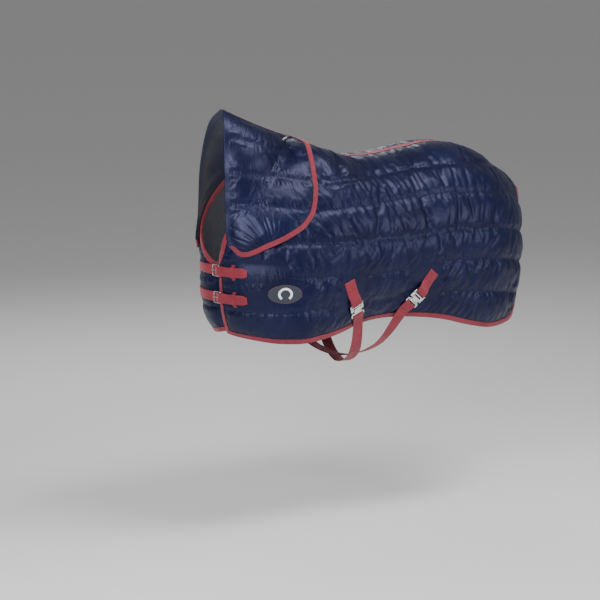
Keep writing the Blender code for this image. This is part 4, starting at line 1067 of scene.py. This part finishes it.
nickel = nickel_finish("nickel_plated_steel")
EASED_EDGE = 0.0003
CHEST_BASES = {"upper": (-0.431075, 0.0, -0.503), "lower": (-0.425123, 0.0, -0.615)}
for label, base in CHEST_BASES.items():
    strap = Frame(base, (0, -1, 0), (-1, 0, 0))
    path = [(s, SEWN_LIE) for s in stepped(-0.190, -0.075, 0.0125)]
    path += [(-0.055, SEWN_LIE + 0.0012), (-0.035, 0.0034), (-0.012, 0.0037), (0.006, 0.0037),
             (0.0155, 0.0050), (0.0240, 0.0092), (0.0320, 0.0134), (0.0370, 0.0140),
             (0.0430, 0.0140), (0.0540, 0.0124), (0.0700, 0.0084), (0.0850, 0.0067)]
    path += [(s, 0.0062) for s in stepped(0.0975, 0.170, 0.0125)]
    ribbon(f"{label}_billet", f"chest_{label}_billet",
           ribbon_rows(strap, path, CHEST_HALF, chest_grip, tip_width))
    radius = BUCKLE_BAR + 0.0005 + 0.5 * WEBBING
    under = BUCKLE_HEIGHT - radius
    path = [(s, SEWN_LIE) for s in stepped(0.150, 0.085, 0.0130)]
    path += [(0.068, 0.0028), (0.055, under), (0.047, under)]
    path += arc((BUCKLE_HEEL, BUCKLE_HEIGHT), radius, -90.0, -270.0, 12)
    path += [(0.047, 0.0100), (0.056, 0.0080), (0.070, 0.0054), (0.085, 0.0040), (0.100, 0.0038)]
    ribbon(f"{label}_chape", f"chest_{label}_buckle_chape",
           ribbon_rows(strap, path, CHEST_HALF, chest_grip))
    turned = Frame(strap.base + strap.run * 0.118, strap.side, strap.out)
    half = CHEST_HALF
    path = [(-half - 0.012, 0.0015), (-half - 0.004, 0.0015), (-half - 0.002, 0.0081),
            (-half + 0.001, 0.0087), (half - 0.001, 0.0087), (half + 0.002, 0.0081),
            (half + 0.004, 0.0015), (half + 0.012, 0.0015)]
    ribbon(f"{label}_keeper_band", f"chest_{label}_keeper",
           ribbon_rows(turned, path, 0.007, lambda s: 1.0, None, 0.0010))
    box_stitch(strap, -0.180, -0.120, 0.014, SEWN_LIE + 0.5 * WEBBING)
    polished(f"{label}_buckle_bar", f"chest_{label}_buckle_frame", f"{label}_buckle", 0.0)
    polished(f"{label}_buckle_tongue_piece", f"chest_{label}_buckle_tongue", f"{label}_tongue",
             EASED_EDGE)


# ------------------------------------------------------------------ belly surcingles
# Two crossing 50 mm webbing straps. Each starts sewn to the off side, hangs under the belly and
# ends folded round the bar of a hook that drops into a plate held by a patch on the near side.

BELLY_HALF = 0.025
FITTING_HEIGHT, HOOK_BAR, FOLD_END, PATCH_LENGTH = 0.0065, 0.059, 0.092, 0.105
OFF_LAY_END = {"front": 0.118, "rear": 0.098}
BELLY_DEPTHS = {"front": 0.947, "rear": 0.925}
PLATES = {
    "front": ((0.063105, -0.309265, -0.655089), (0.3973, 0.3771, -0.8366), (0.0818, -0.9226, -0.377)),
    "rear": ((0.383715, -0.324264, -0.638539), (-0.6023, 0.3672, -0.7088), (-0.1693, -0.9265, -0.3362)),
}
MIRRORED = Vector((1.0, -1.0, 1.0))
near_frames, off_frames = {}, {}
for label, (plate, run, out) in PLATES.items():
    base = Vector(plate) - Vector(out).normalized() * FITTING_HEIGHT
    near_frames[label] = Frame(base, run, out)
    other = "rear" if label == "front" else "front"
    off_frames[other] = Frame(base * MIRRORED, Vector(run) * MIRRORED, Vector(out) * MIRRORED)


def belly_route(start, start_run, end, end_run, depth):
    low = Vector((0.5 * (start.x + end.x), 0.0, -depth))
    near_turn = start.lerp(low, 0.5) + Vector((0.0, -0.035, -0.045))
    off_turn = end.lerp(low, 0.5) + Vector((0.0, 0.035, -0.045))
    before, beyond = start - start_run * 0.12, end + end_run * 0.12
    stops = np.array([before, start, near_turn, low, off_turn, end, beyond])
    out = [smooth_between(stops[k - 1], stops[k], stops[k + 1], stops[k + 2], m / 24.0)
           for k in range(1, 5) for m in range(24)]
    return [Vector(p) for p in out[4:]]


def patch_grip(s):
    return float(ease(0.020, 0.045, np.array(-s)))


for label, near_frame in near_frames.items():
    radius = 0.0031 + 0.5 * WEBBING
    under, over = FITTING_HEIGHT - radius, FITTING_HEIGHT + radius
    lie = 0.0008 + 0.5 * WEBBING
    path = [(s, lie) for s in stepped(-PATCH_LENGTH, -0.034, 0.0120)]
    path += [(-0.016, 0.0020), (-0.006, under)]
    path += arc((0.0, FITTING_HEIGHT), radius, -90.0, 90.0, 12)
    path += [(-0.006, over - 0.0002), (-0.016, 0.0080), (-0.030, 0.0042), (-0.045, 0.0037),
             (-0.058, 0.0037)]
    ribbon(f"{label}_patch", f"surcingle_{label}_patch",
           ribbon_rows(near_frame, path, BELLY_HALF, patch_grip))
    box_stitch(near_frame, -0.098, -0.062, 0.019, lie + 0.5 * WEBBING)
    path = [(FOLD_END, 0.0048), (0.078, 0.0052), (0.068, 0.0085), (0.063, over - 0.0003)]
    path += arc((HOOK_BAR, FITTING_HEIGHT), radius, 90.0, 270.0, 12)
    path += [(0.070, under), (0.082, under), (FOLD_END + 0.002, under)]
    top, low = ribbon_rows(near_frame, path, BELLY_HALF)
    off_frame = off_frames[label]
    start = near_frame.at(FOLD_END + 0.002, under, 0.0)
    laid = [(s, lie + 0.0055 * float(ease(-0.030, 0.030, np.array(s))))
            for s in stepped(OFF_LAY_END[label], -PATCH_LENGTH, 0.004)]
    landing, beyond = (off_frame.laid(s, h, 0.0) for s, h in laid[:2])
    off_run = (beyond - landing).normalized()
    route = belly_route(start, near_frame.run, landing, off_run, BELLY_DEPTHS[label])
    shares = [math.sin(0.5 * math.pi * (2.0 * m / 8 - 1.0)) for m in range(9)]
    bodies = [0.5 * WEBBING * (1.0 if 0 < m < 8 else 0.45) for m in range(9)]
    more_top, more_low = [], []
    for k, place in enumerate(route):
        ahead = route[k + 1] if k + 1 < len(route) else landing
        behind = route[k - 1] if k else start
        run = (ahead - behind).normalized()
        out = Vector((0.0, place.y, (place.z + 0.55) * 1.2)).normalized()
        out = near_frame.out.lerp(out, min(1.0, (k + 1) / 16.0))
        out = off_frame.out.lerp(out, min(1.0, (len(route) - k) / 16.0))
        out = (out - run * out.dot(run)).normalized()
        side = out.cross(run)
        places = [place + side * BELLY_HALF * f for f in shares]
        more_top.append([tuple(p + out * b) for p, b in zip(places, bodies)])
        more_low.append([tuple(p - out * b) for p, b in zip(places, bodies)])
    for s, rise in laid:
        places = [off_frame.laid(s, rise, -BELLY_HALF * f) for f in shares]
        more_top.append([tuple(p + off_frame.out * b) for p, b in zip(places, bodies)])
        more_low.append([tuple(p - off_frame.out * b) for p, b in zip(places, bodies)])
    # The folded end is laid first with its faces turned over, so they change places here.
    top, low = np.concatenate([low, np.array(more_top)]), np.concatenate([top, np.array(more_low)])
    strap = ribbon(f"{label}_belly_strap", f"surcingle_{label}_strap", (top, low))
    box_stitch(off_frame, -0.098, -0.040, 0.019, lie + 0.5 * WEBBING)
    polished(f"{label}_slot_plate", f"surcingle_{label}_plate", f"{label}_plate", EASED_EDGE)
    polished(f"{label}_hook_plate", f"surcingle_{label}_hook", f"{label}_hook", EASED_EDGE)


# ------------------------------------------------------------------ badge
# An oval cloth patch sewn flat on the near shoulder, with a plain raised horseshoe in thread.

badge = Frame((-0.2663, -0.2652, -0.587), (0.9439, -0.3304, 0.0), (-0.3304, -0.9439, 0.0))


def thread_finish(name, dark, light, scale):
    made, tree, shader = finish_of(name)
    spot = node(tree, "ShaderNodeTexCoord").outputs["Object"]
    cloth = node(tree, "ShaderNodeUVMap", uv_map="cloth").outputs["UV"]
    shade = noise_at(tree, spot, 90.0, 3.0)
    coloured(tree, shader, shade, dark, light)
    roughened(tree, shader, shade, 0.55, 0.78)
    shader.inputs["Sheen Weight"].default_value = 0.2
    lines = tree.nodes.new("ShaderNodeTexWave")
    tree.links.new(cloth, lines.inputs["Vector"])
    lines.inputs["Scale"].default_value = scale
    tree.links.new(bumped(tree, lines.outputs["Fac"], 0.00018, 0.8), shader.inputs["Normal"])
    return made


BADGE_REACH = (0.070, 0.039)
BADGE_LIFT = 0.0011
top, low = [], []
spokes = [2.0 * math.pi * k / 64 for k in range(65)]
for ring in range(13):
    reach = 0.02 + 0.98 * ring / 12.0
    body = 0.0012 if ring < 12 else 0.0008
    for height, rows in ((BADGE_LIFT + body, top), (BADGE_LIFT, low)):
        rows.append([tuple(badge.laid(BADGE_REACH[0] * reach * math.cos(a), height,
                                      BADGE_REACH[1] * reach * math.sin(a))) for a in spokes])
top, low = np.array(top), np.array(low)
oval = sheet_mesh("badge_oval", top, low, units(top - low))
work = bmesh.new()
work.from_mesh(oval.data)
bmesh.ops.remove_doubles(work, verts=work.verts, dist=1e-6)
work.to_mesh(oval.data)
work.free()
badge_cloth = thread_finish("badge_cloth", (0.010, 0.014, 0.028), (0.018, 0.024, 0.042), 330.0)
dressed(oval, "badge_patch", badge_cloth)
stitch_paths.append(top[12] * 0.55 + top[11] * 0.45)
top, low = [], []
for k in range(61):
    angle = math.radians(-52.0 + 284.0 * k / 60)
    rows = ([], [])
    for m in range(7):
        reach = 0.0185 + 0.0090 * m / 6.0
        body = 0.0012 * math.sqrt(max(0.12, 1.0 - (m / 3.0 - 1.0) ** 2))
        for height, row in zip((0.0029 + body, 0.0029), rows):
            row.append(tuple(badge.laid(reach * 1.08 * math.cos(angle), height,
                                        reach * 0.98 * math.sin(angle))))
    top.append(rows[0])
    low.append(rows[1])
top, low = np.array(top), np.array(low)
dressed(sheet_mesh("badge_horseshoe", top, low, units(top - low)), "badge_motif",
        thread_finish("badge_thread", (0.70, 0.72, 0.74), (0.84, 0.86, 0.88), 520.0))


# ------------------------------------------------------------------ stitching
# Lock stitches in matching thread: along the quilting rows, the bindings, the tapes and the
# boxes on the webbing. Each stitch is a short slug of thread lying on the cloth.

STITCH_LENGTH, THREAD_RADIUS = 0.0032, 0.00040


def run_of_stitches(name, paths, pitch, surface):
    """One stitch shape set along every path by Geometry Nodes, then kept as a plain mesh."""
    curve = bpy.data.curves.new(name + "_line", "CURVE")
    curve.dimensions = "3D"
    for path in paths:
        spline = curve.splines.new("POLY")
        spline.points.add(len(path) - 1)
        spline.points.foreach_set("co", np.concatenate([path, np.ones((len(path), 1))], 1).ravel())
    line = bpy.data.objects.new(name + "_line", curve)
    bpy.context.scene.collection.objects.link(line)
    slug_mesh = bpy.data.meshes.new(name + "_slug")
    work = bmesh.new()
    bmesh.ops.create_cone(work, cap_ends=True, segments=5, radius1=THREAD_RADIUS,
                          radius2=THREAD_RADIUS, depth=STITCH_LENGTH)
    bmesh.ops.rotate(work, verts=work.verts, matrix=Matrix.Rotation(math.radians(90), 3, "Y"))
    work.to_mesh(slug_mesh)
    work.free()
    slug = bpy.data.objects.new(name + "_slug", slug_mesh)
    bpy.context.scene.collection.objects.link(slug)
    tree = bpy.data.node_groups.new(name + "_rows", "GeometryNodeTree")
    face = tree.interface
    face.new_socket("Line", in_out="INPUT", socket_type="NodeSocketGeometry")
    face.new_socket("Result", in_out="OUTPUT", socket_type="NodeSocketGeometry")
    pitch_in = face.new_socket("Pitch", in_out="INPUT", socket_type="NodeSocketFloat")
    slug_in = face.new_socket("Stitch", in_out="INPUT", socket_type="NodeSocketObject")
    thread_in = face.new_socket("Thread", in_out="INPUT", socket_type="NodeSocketMaterial")
    seed_in = face.new_socket("Seed", in_out="INPUT", socket_type="NodeSocketInt")
    entry = tree.nodes.new("NodeGroupInput")
    exit_node = tree.nodes.new("NodeGroupOutput")
    spread = tree.nodes.new("GeometryNodeCurveToPoints")
    spread.mode = "LENGTH"
    info = tree.nodes.new("GeometryNodeObjectInfo")
    place = tree.nodes.new("GeometryNodeInstanceOnPoints")
    turn = tree.nodes.new("FunctionNodeAlignRotationToVector")
    turn.axis = "X"
    varied = tree.nodes.new("FunctionNodeRandomValue")
    varied.data_type = "FLOAT"
    real = tree.nodes.new("GeometryNodeRealizeInstances")
    paint = tree.nodes.new("GeometryNodeSetMaterial")
    join = tree.links.new
    join(entry.outputs["Line"], spread.inputs["Curve"])
    join(entry.outputs["Pitch"], spread.inputs["Length"])
    join(entry.outputs["Stitch"], info.inputs["Object"])
    join(entry.outputs["Seed"], varied.inputs["Seed"])
    varied.inputs[2].default_value = 0.92
    varied.inputs[3].default_value = 1.08
    join(spread.outputs["Points"], place.inputs["Points"])
    join(info.outputs["Geometry"], place.inputs["Instance"])
    join(spread.outputs["Tangent"], turn.inputs["Vector"])
    join(turn.outputs["Rotation"], place.inputs["Rotation"])
    join(varied.outputs[1], place.inputs["Scale"])
    join(place.outputs["Instances"], real.inputs["Geometry"])
    join(real.outputs["Geometry"], paint.inputs["Geometry"])
    join(entry.outputs["Thread"], paint.inputs["Material"])
    join(paint.outputs["Geometry"], exit_node.inputs["Result"])
    rows = line.modifiers.new("rows", "NODES")
    rows.node_group = tree
    rows[pitch_in.identifier] = pitch
    rows[slug_in.identifier] = slug
    rows[thread_in.identifier] = surface
    rows[seed_in.identifier] = 7
    graph = bpy.context.evaluated_depsgraph_get()
    mesh = bpy.data.meshes.new_from_object(line.evaluated_get(graph), depsgraph=graph)
    mesh.name = name
    line.modifiers.clear()
    for spare in (line, slug):
        bpy.data.objects.remove(spare, do_unlink=True)
    if not mesh.materials:
        mesh.materials.append(surface)
    made = bpy.data.objects.new(name, mesh)
    bpy.context.scene.collection.objects.link(made)
    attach(made, "rug")
    return made


def plain_thread(name, dark, light):
    made, tree, shader = finish_of(name)
    spot = node(tree, "ShaderNodeTexCoord").outputs["Object"]
    shade = noise_at(tree, spot, 300.0, 2.0)
    coloured(tree, shader, shade, dark, light)
    roughened(tree, shader, shade, 0.5, 0.7)
    tree.links.new(bumped(tree, shade, 0.0001, 0.6), shader.inputs["Normal"])
    return made


burgundy_thread = plain_thread("burgundy_thread", (0.16, 0.008, 0.022), (0.26, 0.014, 0.034))
run_of_stitches("binding_stitches", stitch_paths, 0.0042, burgundy_thread)
quilting = []
for side in (NEAR, OFF):
    grid = panels[side]
    tree = tree_of(grid["outer"])
    for row in grid["quilting"]:
        line = evened(panel_place(side, row[:, 0], row[:, 1], 0.0), 0.006)[3:-3]
        hits = [tree.find_nearest(Vector(p)) for p in line]
        quilting.append(np.array([tuple(hit[0]) for hit in hits]))
navy_thread = plain_thread("navy_thread", (0.006, 0.008, 0.026), (0.012, 0.016, 0.044))
run_of_stitches("quilting_stitches", quilting, 0.0046, navy_thread)


# ------------------------------------------------------------------ light, floor and camera
# Pale sweep of floor, soft lamps, and a long lens from the near shoulder.

FLOOR_HALF, FLOOR_LEVEL = 30, -1.62
floor_mesh = bpy.data.meshes.new("studio_floor")
corners = [(FLOOR_HALF * x, FLOOR_HALF * y, FLOOR_LEVEL) for x, y in ((-1, -1), (1, -1), (1, 1), (-1, 1))]
floor_mesh.from_pydata(corners, [], [(0, 1, 2, 3)])
studio_floor = bpy.data.objects.new("studio_floor", floor_mesh)
bpy.context.scene.collection.objects.link(studio_floor)
pale, _, pale_shader = finish_of("pale_floor")
pale_shader.inputs["Base Color"].default_value = (0.82, 0.82, 0.82, 1.0)
pale_shader.inputs["Roughness"].default_value = 0.9
floor_mesh.materials.append(pale)


def soft_lamp(name, place, aim, size, power):
    lamp = bpy.data.lights.new(name, "AREA")
    lamp.shape = "RECTANGLE"
    lamp.size, lamp.size_y = size
    lamp.energy = power
    made = bpy.data.objects.new(name, lamp)
    made.location = place
    made.rotation_euler = (Vector(aim) - Vector(place)).to_track_quat("-Z", "Y").to_euler()
    bpy.context.scene.collection.objects.link(made)
    return made


soft_lamp("key_lamp", (-3.6, -2.6, 1.1), (0.0, -0.1, -0.45), (1.5, 2.0), 190.0)
soft_lamp("top_lamp", (0.9, -2.2, 3.2), (0.4, 0.0, -0.4), (2.6, 1.2), 150.0)
soft_lamp("side_lamp", (2.6, -4.4, 0.6), (0.5, 0.0, -0.4), (1.2, 1.8), 80.0)
soft_lamp("back_lamp", (1.5, 4.0, 2.4), (0.4, 0.0, -0.3), (2.5, 2.5), 90.0)
world = bpy.data.worlds.new("studio")
bpy.context.scene.world = world
world.use_nodes = True
world.node_tree.nodes["Background"].inputs["Color"].default_value = (1.0, 1.0, 1.0, 1.0)
world.node_tree.nodes["Background"].inputs["Strength"].default_value = 0.26

lens = bpy.data.cameras.new("camera")
lens.lens = 201.6
lens.sensor_width = 36.0
lens.clip_end = 100.0
camera = bpy.data.objects.new("camera", lens)
bpy.context.scene.collection.objects.link(camera)
azimuth = math.radians(-36.0)
elevation = math.radians(9.5)
aim = Vector((0.0, 0.0, -0.672))
camera.location = aim + 14.0 * Vector((math.sin(azimuth) * math.cos(elevation),
                                       -math.cos(azimuth) * math.cos(elevation),
                                       math.sin(elevation)))
camera.rotation_euler = (aim - camera.location).to_track_quat("-Z", "Y").to_euler()
bpy.context.scene.camera = camera
